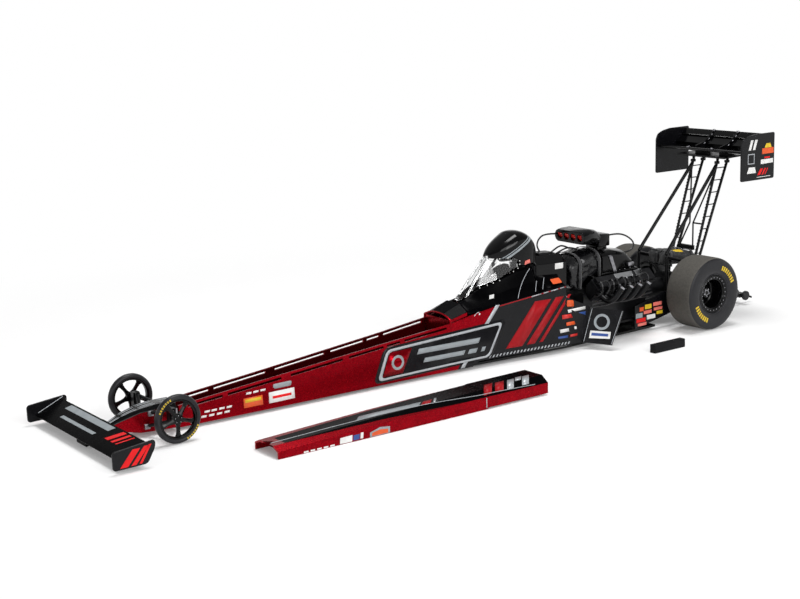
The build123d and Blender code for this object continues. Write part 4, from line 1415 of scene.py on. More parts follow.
@dataclass
class FrontWheels:
    """The two narrow front wheels with five spokes, their knuckles and arms."""

    centre: Triple = (317.5, 22.7, 10.7)
    tyre_profile: Outline = ((8.7, 1.25), (9.1, 1.5), (9.6, 1.6), (10.1, 1.3), (10.45, 0.9), (10.65, 0.45))
    barrel: Outline = (
        (7.7, 0.7), (7.75, 1.0), (8.0, 1.25), (8.35, 1.3), (8.7, 1.3), (8.7, -1.3), (8.35, -1.3),
        (8.0, -1.15), (7.75, -0.9))
    hub: Outline = ((0.0, 1.3), (0.9, 1.3), (1.1, 1.05), (2.0, 0.95), (2.3, 0.7), (2.3, -1.2), (0.9, -1.3))
    spokes: int = 5
    spoke_rows: Table = ((1.9, 1.25, 0.55, 1.0), (3.2, 0.82, 0.45, 0.95), (5.2, 0.78, 0.3, 0.8),
                                                 (6.8, 1.0, 0.2, 0.62), (7.9, 1.7, 0.2, 0.45))
    spoke_back: float = -0.5
    studs: Studs = Studs(1.55, 0.85, 1.25, 0.24, 5, 54.0)
    marks: WallMarks = WallMarks(9.15, 9.95, 1.42, 0.16, 4.2, 7.0, 7, 110.0)
    post_nuts: Pair = (-2.4, 2.4)
    post_y: Pair = (18.7, 19.1)
    brackets: Route = ((6.0, 5.0, 4.6), (-8.0, 5.6, 4.6), (4.0, 5.0, 10.0), (-7.0, 5.4, 9.0))

    def tyre(self) -> Form:
        """One tyre."""
        half = list(self.tyre_profile)
        profile = [(r, -h) for r, h in half] + [(r, h) for r, h in reversed(half)]
        return Form().lathe(profile + profile[:1], self.centre, 80)

    def spoke(self) -> Form:
        """One spoke: waisted, with a ridge down its middle."""
        x, y, z = self.centre
        rows = [[
            (x + r, y + self.spoke_back, z - w), (x + r, y + edge, z - w), (x + r, y + ridge, z),
            (x + r, y + edge, z + w), (x + r, y + self.spoke_back, z + w)
        ] for r, w, edge, ridge in self.spoke_rows]
        return Form().loft(rows)

    def rim(self) -> Form:
        """One rim: its barrel, spokes, hub and studs."""
        form = Form().lathe(list(self.barrel + self.barrel[:1]), self.centre, 72)
        form.around(self.spoke(), self.centre, self.spokes, 18.0)
        form.lathe(list(self.hub), self.centre, 36)
        plain = set(form.bm.faces)
        self.studs.add(form, self.centre)
        return form.paint(1, lambda f: f not in plain)

    def bolts(self) -> Form:
        """The left arms' brackets on the nose, with their bolts, and the post's bolts."""
        x, _, z = self.centre
        low, high = self.post_y
        form = Form()
        for dz in self.post_nuts:
            form.rod((x, low, z + dz), (x, high, z + dz), 0.5, sides=6)
        for dx, foot, high in self.brackets:
            form.box((x + dx, foot + 0.3, high), (2.6, 1.6, 2.4), round_by=0.3)
            form.rod((x + dx, foot + 1.0, high), (x + dx, foot + 1.5, high), 0.55, sides=6)
        return form

    def build(self) -> None:
        """Builds both wheels, each on its own spindle."""
        for side in ("left", "right"):
            body = f"front_{side}_wheel"
            self.tyre().on(side).piece(
                f"front_tyre_{side}_skin", SIDEWALL, body, (f"front_{side}_tyre",), sharp=50)
            self.rim().on(side).piece(
                f"front_rim_{side}_spokes", [GLOSS, STEEL], body, (f"front_{side}_rim",), sharp=20, bevel=0.1)
            self.marks.form(self.centre).on(side).piece(f"front_tyre_{side}_marks", YELLOW, body)
            self.bolts().on(side).piece(f"front_arm_bolts_{side}", STEEL)
        dress(SATIN, "front_left_knuckle", "front_right_knuckle", "front_left_arms", "front_right_arms")


@dataclass
class Nose:
    """The nose cone and the front wing that it carries."""

    table: Table = (
        (340.0, 2.2, 5.0, 6.6, 7.6), (334.0, 3.6, 3.6, 8.6, 10.2), (326.0, 4.6, 1.9, 10.8, 12.4),
        (317.0, 5.4, 1.5, 11.4, 13.4), (309.0, 6.2, 1.5, 9.6, 13.0),
    )
    crown: float = 0.62
    # The pair at 0.42 of the top's flat half width is a silver pinstripe; the pair at 0.9, near the edges of
    # the black top, is a painted highlight.
    stripe_and_highlight_shares: Pair = (0.42, 0.9)
    stripe_and_highlight_radius: float = 0.13
    half_span: float = 43.7
    outer_span: float = 44.6
    blade: Outline = ((353.7, 4.25), (353.9, 4.55), (353.4, 4.95), (350.0, 6.3), (345.6, 8.3), (341.2, 10.1),
                               (340.9, 9.8), (345.4, 7.3), (350.0, 5.2))
    plate: Outline = ((338.7, 11.5), (357.6, 9.5), (357.6, 1.7), (342.4, 2.0), (338.7, 8.4))
    blade_face: Flat = Flat((353.4, 0.0, 4.95), (0.0, 1.0, 0.0), (-12.2, 0.0, 5.15))
    mount_table: Table = (
        (351.6, 5.0, 1.0, 3.4), (348.5, 4.6, 1.4, 6.4), (340.0, 2.6, 4.4, 9.6),
    )
    seam: Outline = ((352.6, 5.5), (349.4, 6.9), (345.6, 8.6), (342.4, 10.0), (340.6, 10.9))
    seam_inset: float = 0.12

    def cone(self) -> Form:
        """The nose cone, red with a black top."""
        rows = []
        for x, w, low, shoulder, crown in self.table:
            flat = self.crown * w
            rows.append([
                (x, -w, low), (x, -w, shoulder), (x, -flat, crown), (x, flat, crown), (x, w, shoulder),
                (x, w, low)])
        return Form().loft(rows).paint(1, lambda f: f.normal.z > 0.35)

    def pinstripes_and_highlights(self) -> Form:
        """Two pairs of silver lines along the black top: the pair nearer the middle is a pinstripe, and the
        pair near the top's edges is a painted highlight.
        """
        form = Form()
        for share in self.stripe_and_highlight_shares:
            for side in (-1, 1):
                form.hose(
                    [(x, side * share * self.crown * w, crown + 0.03) for x, w, _, _, crown in self.table],
                    self.stripe_and_highlight_radius, 1)
        return form

    def tongue(self) -> Form:
        """The mount that joins the wing to the nose."""
        return Form().loft([[(x, w, low), (x, w, high), (x, -w, high), (x, -w, low)]
                            for x, w, low, high in self.mount_table])

    def build(self) -> None:
        """Builds the cone and the wing."""
        self.cone().piece(
            "nose_cone_skin", [RED, GLOSS], stands_for=("nose_cone",), bevel=0.45, segments=3, sharp=20)
        # Silver lines on the nose's top: the inner pair is a pinstripe, and the outer pair is a painted
        # highlight.
        self.pinstripes_and_highlights().piece("nose_pinstripes_and_highlights", SILVER)
        Form().wall(list(self.blade), -self.half_span, self.half_span).piece(
            "front_wing_blade", DEEP, stands_for=("front_wing",), sharp=40)
        for side, y in (("left", self.half_span), ("right", -self.outer_span)):
            Form().wall(round_corners(list(self.plate), 1.4), y, y + self.outer_span - self.half_span).piece(
                f"front_wing_plate_{side}", PANEL, bevel=0.2)
        self.tongue().piece("front_wing_mount", DEEP, bevel=0.4)
        self.seams().piece("front_wing_seams", SILVER)
        for name, (finish, outlines) in self.stripes().items():
            self.blade_face.prints(outlines).piece(name, finish)
        bars = [slant(354.6, 351.2, 2.5, 9.3, -0.85), slant(349.8, 347.6, 2.6, 9.7, -0.85),
                slant(346.2, 345.0, 2.7, 10.0, -0.62)]
        upright(bars, self.outer_span + 0.02).piece("front_wing_plate_bars", BRIGHT_RED)
        dress(GLOSS, "belly_pan")

    def stripes(self) -> dict[str, tuple[Finish, Outlines]]:
        """The stripes on the blade, as finish and outlines across and up it."""
        return {
            "front_wing_long_stripes": (GREY, [
                [(-32.0, 9.4), (-30.6, 12.4), (14.5, 12.4), (12.8, 9.4)],
                [(-27.0, 4.4), (-26.2, 6.0), (8.0, 6.0), (7.0, 4.4)],
            ]),
            "front_wing_red_bars": (BRIGHT_RED, [
                [(16.6, 5.6), (22.0, 12.4), (25.4, 12.4), (20.2, 5.6)],
                [(22.4, 5.6), (27.6, 12.4), (29.8, 12.4), (24.6, 5.6)],
                [(26.8, 5.6), (32.0, 12.4), (33.1, 12.4), (27.9, 5.6)],
            ]),
        }

    def seams(self) -> Form:
        """The raised bright seams where the blade meets its end plates."""
        y = self.half_span - self.seam_inset
        return Form().hose([(x, y, z) for x, z in self.seam], 0.16).mirrored()


@dataclass
class RearWing:
    """The tall rear wing with its end plates, ribs, plank and struts."""

    half_span: float = 31.0
    outer_span: float = 31.9
    main: Outline = (
        (-23.7, 93.6), (-24.0, 93.0), (-26.0, 92.4), (-29.5, 91.9), (-33.0, 91.8), (-36.6, 92.5),
        (-39.5, 93.8), (-36.4, 93.3), (-33.0, 93.4), (-29.0, 93.9), (-26.0, 94.2), (-24.2, 94.1))
    flaps: tuple[Outline, ...] = (
        (
            (-38.4, 95.2), (-38.7, 93.6), (-39.7, 93.6), (-42.4, 96.4), (-44.6, 99.0), (-42.0, 97.3),
            (-40.0, 96.1)),
        ((-43.4, 99.2), (-44.1, 99.2), (-44.9, 99.6), (-46.0, 100.9), (-46.8, 102.2), (-45.2, 101.0)),
    )
    plate: Outline = (
        (-22.5, 77.9), (-22.5, 97.6), (-24.2, 100.6), (-28.4, 102.2), (-34.0, 103.1), (-49.4, 103.2),
        (-49.4, 77.9))
    strut_y: float = 8.8
    strut_front: Outline = ((-10.9, 30.4), (-30.2, 90.0))
    strut_rear: Outline = ((-14.0, 30.4), (-38.7, 90.0))
    bead_count: int = 34
    bracket_places: Outline = ((-25.0, 94.4), (-37.6, 95.4), (-41.0, 97.6), (-45.6, 102.1), (-43.6, 99.9))
    flap_start: float = -30.0
    flap_tilt: float = 35.0

    def beads(self) -> Form:
        """The fine beaded edge down the front of each strut, and the clamps at its ends."""
        form = Form()
        for (x0, z0), (x1, z1), radius in ((*self.strut_front, 0.34), (*self.strut_rear, 0.3)):
            for n in range(2, self.bead_count):
                t = n / self.bead_count
                x, z = x0 + (x1 - x0) * t, z0 + (z1 - z0) * t
                form.rod((x + 0.2, self.strut_y, z), (x + 1.15, self.strut_y, z + 0.1), radius, sides=6)
            for t in (0.05, 0.94):
                x, z = x0 + (x1 - x0) * t, z0 + (z1 - z0) * t
                form.box((x, self.strut_y, z), (2.3, 2.2, 1.6), round_by=0.3)
        return form.mirrored()

    def brackets(self) -> Form:
        """The bright brackets that hold the blades to the ribs."""
        form = Form()
        for x, z in self.bracket_places:
            tilt = math.radians(self.flap_tilt if x < self.flap_start else 0.0)
            form.box((x, self.strut_y, z), (1.5, 1.7, 0.45), Matrix.Rotation(tilt, 4, "Y"), 0.1)
            form.rod((x, self.strut_y - 0.5, z), (x, self.strut_y - 0.5, z + 0.6), 0.3, sides=6)
        return form.mirrored()

    def patches(self) -> dict[str, tuple[Finish, Outlines]]:
        """The blank patches on the outside of each end plate."""
        return {
            "wing_patches_white": (WHITE, [
                slant(-28.0, -30.0, 94.6, 100.0, -0.35), slant(-31.4, -33.4, 94.6, 100.0, -0.35),
                [(-38.2, 86.4), (-48.2, 86.6), (-48.2, 89.0), (-38.2, 88.8)],
                [(-27.0, 82.0), (-34.4, 82.0), (-33.4, 85.2), (-28.6, 85.4)],
                [(-35.0, 79.3), (-46.4, 79.3), (-46.4, 79.6), (-35.0, 79.6)]]),
            "wing_patches_frame": (
                SILVER,
                ring_outlines(
                    [(-27.6, 87.0), (-33.0, 87.0), (-33.0, 92.6), (-27.6, 92.6)],
                    [(-28.1, 87.5), (-32.5, 87.5), (-32.5, 92.1), (-28.1, 92.1)])),
            "wing_patches_orange": (ORANGE, [[(-39.2, 91.8), (-48.6, 91.9), (-48.6, 95.0), (-39.2, 94.9)]]),
            "wing_patches_yellow": (YELLOW, [[(-41.2, 95.1), (-46.8, 95.1), (-45.8, 97.4), (-42.4, 97.4)]]),
            "wing_patches_red": (
                BRIGHT_RED,
                [
                    *(slant(a, b, 80.6, 84.0, -0.7) for a, b in (
                        (-35.6, -37.8), (-39.0, -40.3), (-41.4, -42.1))),
                    [(-41.0, 89.4), (-45.6, 89.4), (-45.6, 90.2), (-41.0, 90.2)]]),
        }

    def build(self) -> None:
        """Builds the wing round the struts that keep their shape."""
        span = self.half_span
        Form().wall(list(self.main), -span, span).piece(
            "wing_main_blade", GLOSS, stands_for=("rear_wing_main",), sharp=50)
        flaps = Form()
        for outline in self.flaps:
            flaps.wall(list(outline), -span, span)
        flaps.piece("wing_flap_blades", GLOSS, stands_for=("rear_wing_flaps",), sharp=50)
        for side, y in (("left", span), ("right", -self.outer_span)):
            Form().wall(round_corners(list(self.plate), 1.0), y, y + self.outer_span - span).piece(
                f"wing_end_plate_{side}", PANEL, stands_for=(f"rear_wing_plate_{side}",), bevel=0.22)
        for name, (finish, outlines) in self.patches().items():
            upright(outlines, self.outer_span + 0.02).piece(name, finish)
        self.beads().piece("wing_strut_beads", SATIN)
        self.brackets().piece("wing_rib_brackets", STEEL)
        dress(SATIN, "wing_struts_left", "wing_struts_right", "wing_brace", "wing_ribs")


def arch(x: float, width: float, base: float, shoulder: float, crown: float) -> list[Triple]:
    """A rounded arch across the car, from its left foot to its right foot.

    Args:
        x: Where it stands.
        width: Its half width.
        base: The height of its feet.
        shoulder: The height where its sides start to bend in.
        crown: Its greatest height.

    Returns:
        The arch's points.
    """
    half = [(x, 0.98 * width, base), (x, width, (base + shoulder) / 2)]
    for degrees in (8.0, 26.5, 45.0, 63.5, 82.0):
        turn = math.radians(degrees)
        half.append(
            (x, width * math.cos(turn) ** 0.72, shoulder + (crown - shoulder) * math.sin(turn) ** 0.9))
    half.append((x, 0.0, crown))
    return half + [(x, -y, z) for _, y, z in reversed(half[:-1])]


def rounded(points: list[Triple]) -> list[Vector]:
    """A smooth line through points.

    Args:
        points: The points that it passes.

    Returns:
        The line's points.
    """
    spots = [Vector(p) for p in points]
    ends = [spots[0] * 2 - spots[1], *spots, spots[-1] * 2 - spots[-2]]
    line = []
    for a, b, c, d in zip(ends, ends[1:], ends[2:], ends[3:]):
        for n in range(8):
            t = n / 8
            bend = (2 * a - 5 * b + 4 * c - d) * t * t + (3 * b - a - 3 * c + d) * t ** 3
            line.append(0.5 * (2 * b + (c - a) * t + bend))
    return line + [spots[-1]]


@dataclass
class Cockpit:
    """The driver's capsule: hood, sides, glass, canopy and the fairing behind it."""

    hood_table: Table = ((162.0, 10.55, 25.1, 26.8, 29.2), (151.8, 11.1, 27.3, 29.3, 33.0))
    skin: float = 0.9
    cove_front: tuple[tuple[float, Outline], ...] = (
        (151.7, ((1.6, 33.0), (4.8, 33.0), (11.1, 29.3), (11.1, 27.3))),
        (147.8, ((2.6, 33.4), (4.8, 33.1), (11.2, 29.6), (11.4, 28.1))),
        (140.6, ((3.8, 38.6), (6.2, 33.0), (11.5, 30.0), (11.8, 29.15))),
        (130.0, ((6.0, 41.1), (8.2, 34.0), (12.1, 31.1), (12.4, 30.6))),
        (116.6, ((8.4, 46.5), (9.4, 37.0), (12.9, 32.8), (13.8, 32.2))),
        (106.0, ((9.8, 46.5), (10.1, 38.0), (13.6, 34.2), (14.9, 33.4))),
    )
    cove_rear: tuple[tuple[float, Outline], ...] = (
        (106.0, ((10.1, 41.0), (10.3, 38.0), (13.6, 34.2), (14.9, 33.4))),
        (91.5, ((9.9, 40.0), (10.9, 38.4), (14.6, 35.6), (16.2, 35.0))),
    )
    canopy_table: Table = (
        (130.8, 1.9, 52.2, 53.1, 53.9), (128.5, 4.2, 52.0, 53.6, 55.9), (125.3, 6.5, 51.8, 54.4, 58.5),
        (121.0, 7.9, 51.8, 55.6, 61.4), (116.2, 8.7, 51.8, 57.2, 63.8), (115.8, 8.75, 46.8, 57.4, 64.0),
        (111.5, 9.0, 46.8, 57.8, 64.6), (106.0, 8.6, 46.8, 56.0, 62.4), (102.4, 6.6, 46.8, 53.0, 57.2),
        (101.0, 3.6, 46.8, 50.6, 53.0),
    )
    bands: Outline = ((57.0, 58.2), (58.8, 59.3))
    band_x: float = 112.0
    band_lean: Triple = (0.55, 0.0, 1.0)
    fairing_table: Table = ((105.6, 9.8, 5.0, 46.4, 49.9), (84.5, 9.5, 5.0, 45.6, 49.2))
    cove_face: Flat = Flat((95.0, 10.76, 38.3), (-3.5, 0.14, 0.1), (0.0, -3.6, 3.04))
    rivets: Route = (
        (142.3, 3.4, 37.8), (138.3, 4.3, 38.5), (134.3, 5.4, 39.5), (131.0, 6.2, 40.3), (127.5, 7.0, 41.1),
        (119.6, 8.4, 44.9), (116.8, 8.6, 46.2), (115.8, 8.9, 48.2), (115.8, 8.9, 49.9), (122.4, 7.6, 51.9),
        (126.4, 6.0, 51.9),
    )
    bulkhead: Route = ((162.0, -9.3, 2.7), (162.0, 9.3, 2.7), (162.0, 9.3, 26.6), (162.0, -9.3, 26.6))
    wall_box: tuple[Triple, Triple] = ((106.4, 0.0, 25.5), (0.8, 19.4, 41.0))
    floor_box: tuple[Triple, Triple] = ((127.6, 0.0, 5.45), (43.2, 17.8, 0.9))
    pad_foot: float = 49.1
    pad_table: Route = ((98.0, 3.6, 50.8), (88.0, 3.2, 50.3))
    corner_bar: Route = ((147.5, 2.8, 32.6), (139.2, 2.6, 43.0), (130.4, 1.9, 52.4))
    inner_bar: Route = (
        (143.8, 0.0, 34.6), (136.3, 0.0, 38.4), (129.9, 0.0, 45.4), (123.4, 0.0, 51.0), (121.0, 0.0, 57.4),
    )
    gusset: Route = ((133.6, -0.3, 41.6), (124.6, -0.3, 48.0), (125.6, -0.3, 49.6))
    cove_ribs: tuple[Route, ...] = (
        ((120.7, 13.0, 31.9), (116.0, 9.6, 39.4), (109.9, 9.6, 45.3)),
        ((109.7, 13.7, 33.9), (106.1, 10.4, 38.4)), ((105.0, 13.9, 34.5), (101.5, 10.9, 39.6)),
    )

    def hood(self) -> Form:
        """The short hood ahead of the windscreen: black on top, red down its sides."""
        rows = []
        for x, w, base, shoulder, crown in self.hood_table:
            outer = [
                (x, w, base), (x, w, shoulder), (x, 0.45 * w, crown), (x, -0.45 * w, crown),
                (x, -w, shoulder), (x, -w, base)]
            v = w - self.skin
            inner = [(x, v, base), (x, v, shoulder - 0.55), (x, 0.45 * v, crown - self.skin),
                     (x, -0.45 * v, crown - self.skin), (x, -v, shoulder - 0.55), (x, -v, base)]
            rows.append(outer + inner[::-1])
        return Form().loft(rows).paint(1, lambda f: f.normal.z > 0.3)

    def lip(self) -> Form:
        """The rolled edge at the hood's front."""
        x, w, base, shoulder, crown = self.hood_table[0]
        half = [(x, w - 0.1, base - 3.0), (x, w - 0.1, shoulder - 0.2), (x, w - 0.4, shoulder + 0.1),
                (x, 0.45 * w, crown - 0.1)]
        return Form().hose(half + [(px, -py, pz) for px, py, pz in reversed(half)], 0.5)

    def cove(self, table: tuple) -> Form:
        """One side of the capsule between the window's sill and the body's side."""
        rows = [[(x, y, z) for y, z in points] for x, points in table]
        return Form().loft(rows, closed=False)

    def floor(self) -> Form:
        """The tub's floor and the wall behind the driver."""
        return Form().box(*self.wall_box, round_by=0.2).box(*self.floor_box, round_by=0.2)

    def canopy(self) -> Form:
        """The helmet shaped canopy, as an open shell with two plain bands."""
        rows = [arch(*row) for row in self.canopy_table]
        form = Form().loft(rows, closed=False).refine(2)
        x, lean = self.band_x, Vector(self.band_lean)
        for low, high in self.bands:
            form.cut((x, 0.0, low), lean).cut((x, 0.0, high), lean)

        def banded(face: bmesh.types.BMFace) -> bool:
            """Whether a face lies in one of the bands."""
            rise = (middle(face) - Vector((x, 0.0, 0.0))).dot(lean)
            return any(low < rise < high for low, high in self.bands)

        return form.paint(1, banded)

    def fairing(self) -> Form:
        """The fairing behind the driver, as an open shell."""
        rows = []
        for x, w, base, shoulder, crown in self.fairing_table:
            half = [(x, w, base), (x, w, shoulder), (x, 0.45 * w, crown)]
            rows.append(half + [(px, -py, pz) for px, py, pz in reversed(half)])
        return Form().loft(rows, closed=False)

    def frame_bars(self) -> Form:
        """The clear corner bars of the screen and the dark bar inside it."""
        form = Form().hose(list(self.corner_bar), 0.42).mirrored()
        plain = set(form.bm.faces)
        form.hose(list(self.inner_bar), 0.6).slab(list(self.gusset), (0.0, 0.6, 0.0))
        return form.paint(1, lambda f: f not in plain)

    def patches(self) -> dict[str, tuple[Finish, float, Outlines]]:
        """The blank patches on the capsule's side, as finish, half width and outlines in x, z."""
        return {
            "fairing_patch_white": (WHITE, 9.84, [[(92.9, 42.6), (92.9, 45.6), (87.4, 45.5), (87.4, 42.6)]]),
            "canopy_patch_rose": (ROSE, 9.03, [[(112.7, 47.4), (112.3, 49.4), (109.3, 49.9), (108.9, 48.2)]]),
            "cove_patch_white": (WHITE, 10.0, [[(136.9, 33.4), (136.8, 35.4), (133.8, 35.6), (133.9, 33.6)]]),
        }

    def build(self) -> None:
        """Builds the capsule."""
        self.hood().piece("hood_skin", [RED, DEEP], stands_for=("cockpit_hood",), bevel=0.35, sharp=18)
        self.lip().piece("hood_lip", RED)
        Form().slab(list(self.bulkhead), (-self.skin, 0.0, 0.0)).piece("trough_bulkhead", RED)
        self.canopy().piece("canopy_shell", [GLOSS, GREY], stands_for=("canopy",), thick=self.skin)
        self.floor().piece("cockpit_floor", MATT, stands_for=("cockpit_tub",))
        for side in ("left", "right"):
            self.cove(self.cove_front).on(side).piece(f"cockpit_cove_{side}", DEEP, thick=0.7, smooth=1)
            self.cove(self.cove_rear).on(side).piece(f"fairing_cove_{side}", DEEP, thick=0.7)
        self.fairing().piece(
            "fairing_shell", GLOSS, stands_for=("rear_fairing",), thick=self.skin, bevel=0.8, segments=3,
            sharp=20)
        foot = self.pad_foot
        pad = Form().loft(
            [[(x, w, foot), (x, w, top), (x, -w, top), (x, -w, foot)] for x, w, top in self.pad_table])
        pad.piece("fairing_pad", SATIN, bevel=0.4)
        self.frame_bars().piece("screen_bars", [CLEAR, SATIN], stands_for=("screen_frame",))
        rivets = Form()
        for place in self.rivets:
            rivets.ball(place, 0.3, rings=6)
        rivets.mirrored().piece("window_rivets", WHITE)
        ribs = Form()
        for points in self.cove_ribs:
            ribs.hose(list(points), 0.16)
        ribs.mirrored().piece("cove_lines", SILVER)
        for name, (finish, half, outlines) in self.patches().items():
            upright(outlines, half).piece(name, finish)
        square = round_corners([(-2.8, -0.5), (3.1, -0.5), (3.1, -3.9), (-2.8, -3.9)], 0.6)
        self.cove_face.prints([square], 0.4).mirrored().piece("fairing_patch_orange", ORANGE)
        dress(SATIN, "seat_and_steering")
        dress(CLEAR, "windscreen", "side_glass_left", "side_glass_right")


@dataclass
class Engine:
    """The engine with its blower, injector hat, headers, hoses and wires."""

    hat_table: Table = (
        (73.8, 11.5, 52.7, 59.3), (71.5, 11.5, 52.3, 59.8), (66.9, 10.6, 51.8, 60.2), (62.0, 9.0, 51.0, 59.2),
        (58.5, 7.6, 50.4, 57.6),
    )
    throttle_y: tuple[float, ...] = (-7.5, -2.5, 2.5, 7.5)
    throttle_z: float = 56.0
    throttle_radius: float = 1.9
    blower_table: Table = (
        (58.0, 8.6, 34.3, 43.0, 47.0), (50.0, 8.6, 34.3, 43.2, 47.2), (40.7, 8.2, 34.3, 41.6, 45.8),
        (35.5, 7.8, 34.3, 38.2, 41.8), (32.8, 7.4, 34.3, 34.8, 35.4),
    )
    pipe_path: Route = ((0.0, 13.6, 26.6), (1.0, 19.6, 23.6), (2.6, 23.2, 25.0), (6.4, 25.6, 31.0))
    pipe_front: float = 66.5
    pipe_pitch: float = 6.4
    pipe_radius: float = 1.5
    pipe_count: int = 4
    mouth_depth: float = 2.6
    mouth_reach: float = 1.9
    fuel_routes: tuple[Route, ...] = (
        (
            (93.0, -2.0, 50.6), (93.4, -4.0, 52.7), (88.3, -8.0, 55.9), (81.7, -10.4, 57.4),
            (73.6, -10.8, 56.4)),
        ((86.0, -1.0, 49.2), (80.5, -2.0, 51.4), (75.5, -3.0, 51.4), (71.0, -3.4, 49.2)),
        ((86.0, 3.2, 49.2), (80.0, 2.6, 51.0), (75.0, 2.2, 50.8), (70.6, 2.0, 49.3)),
        (
            (50.9, 2.6, 54.0), (44.0, 3.0, 54.6), (36.0, 3.0, 53.0), (29.0, 3.0, 48.0), (31.0, 3.0, 43.6),
            (37.5, 3.0, 43.4)),
    )
    wire_count: int = 9
    seed: int = 11
    long_hoses: Route = ((16.4, 24.2, 0.6), (17.0, 22.4, 0.45), (15.4, 20.6, 0.5))
    hat_boxes: tuple[tuple[Triple, Triple, float], ...] = (
        ((54.8, 0.0, 52.6), (8.0, 13.0, 6.4), 0.5), ((54.6, 0.0, 48.7), (6.8, 9.0, 2.8), 0.2),
    )
    blower_boxes: tuple[tuple[Triple, Triple, float], ...] = (
        ((45.3, 0.0, 30.4), (25.4, 12.4, 8.6), 0.4), ((45.4, 0.0, 34.9), (26.6, 17.6, 1.2), 0.3),
    )
    blower_bolts: tuple[float, float, int] = (56.6, 3.8, 7)
    blower_bolt_y: float = 8.1
    lids: Outline = ((-7.0, 6.0), (8.0, 13.0))
    fittings: tuple[tuple[Triple, Triple], ...] = (
        ((38.6, 9.4, 38.2), (4.2, 1.8, 2.0)), ((62.0, 12.6, 24.8), (5.0, 1.6, 1.6)),
        ((44.0, 12.6, 24.8), (4.2, 1.6, 1.6)), ((32.4, 9.0, 33.0), (3.0, 2.2, 3.0)),
    )
    plug_places: tuple[float, ...] = (60.5, 53.0, 45.5, 38.0)
    panel_y: float = 13.52
    roundel: Pair = (6.4, -6.9)
    cover_face: Flat = Flat((47.0, 12.0, 35.0), (-1.0, 0.0, 0.0), (0.0, -0.707, 0.707))
    deflector_face: Flat = Flat((74.4, 17.2, 20.8), (-8.8, 14.4, -0.6), (1.0, -14.0, 17.8))

    def hat(self) -> Form:
        """The injector hat, with its four throttle openings."""
        rows = []
        for x, w, low, high in self.hat_table:
            mid, half = (low + high) / 2, (high - low) / 2
            rows.append([
                (x, (w - half) * math.copysign(1, math.cos(a)) + half * math.cos(a), mid + half * math.sin(a))
                for a in [math.radians(15 + 30 * n) for n in range(12)]])
        form = Form()
        row = form.ring(rows[0])
        form.pierce(row, [(y, self.throttle_z) for y in self.throttle_y], self.throttle_radius, 3.0)
        for points in rows[1:]:
            row = form.extend(row, points)
        form.bm.faces.new(row)
        for place, size, round_by in self.hat_boxes:
            form.box(place, size, round_by=round_by)
        return form

    def pipes(self) -> Form:
        """The left side's four header pipes with their open mouths."""
        form = Form()
        mouths = []
        for n in range(self.pipe_count):
            front = self.pipe_front - n * self.pipe_pitch
            line = rounded([(front - back, y, z) for back, y, z in self.pipe_path])
            rows = []
            for k, spot in enumerate(line):
                ahead = (line[min(k + 1, len(line) - 1)] - line[max(k - 1, 0)]).normalized()
                side = (Vector((1.0, 0.0, 0.0)) - ahead * ahead.x).normalized()
                rows.append((spot, side, ahead.cross(side), self.pipe_radius))
            spot, side, up, _ = rows[-1]
            back = side.cross(up) * self.mouth_depth
            rows += [
                (spot, side, up, self.pipe_radius - 0.3), (spot - back, side, up, self.pipe_radius - 0.35)]
            turns = [2 * math.pi * t / 20 for t in range(20)]
            form.loft([[s + (a * math.cos(t) + b * math.sin(t)) * r for t in turns] for s, a, b, r in rows])
            mouths.append((spot, back.normalized()))

        def at_mouth(face: bmesh.types.BMFace) -> bool:
            """Whether a face lies at the end of one of the pipes."""
            steps = [(middle(face) - end, ahead) for end, ahead in mouths]
            return any(step.length < self.mouth_reach and step.dot(ahead) > -0.7 for step, ahead in steps)

        return form.paint(1, at_mouth)

    def blower(self) -> Form:
        """The blower's rounded case on its manifold, with bolts along its foot."""
        form = Form().loft([arch(*row) for row in self.blower_table])
        for place, size, round_by in self.blower_boxes:
            form.box(place, size, round_by=round_by)
        plain = set(form.bm.faces)
        front, pitch, count = self.blower_bolts
        for n in range(count):
            for y in (self.blower_bolt_y, -self.blower_bolt_y):
                form.rod((front - pitch * n, y, 35.5), (front - pitch * n, y, 36.0), 0.4, sides=6)
        return form.paint(1, lambda f: f not in plain)

    def wires(self) -> Form:
        """The left side's plug wires and the long hoses beside the head."""
        form = Form()
        loose = random.Random(self.seed)
        for n in range(self.wire_count):
            x = 68.0 - 4.0 * n
            lean, rise = loose.uniform(-1.6, 1.6), loose.uniform(-0.8, 0.9)
            form.hose([(x + lean, 14.8, 32.2), (x, 16.6, 33.9 + rise), (x - lean, 18.8, 32.2 + rise),
                       (x - 0.6 * lean, 19.2, 29.2), (x + 0.4 * lean, 17.6, 26.4), (x, 14.8, 25.0)], 0.46)
        for y, z, radius in self.long_hoses:
            form.hose([(74.0 - 6.2 * n, y + loose.uniform(-0.7, 0.7), z + loose.uniform(-0.7, 0.7))
                       for n in range(8)], radius)
        return form

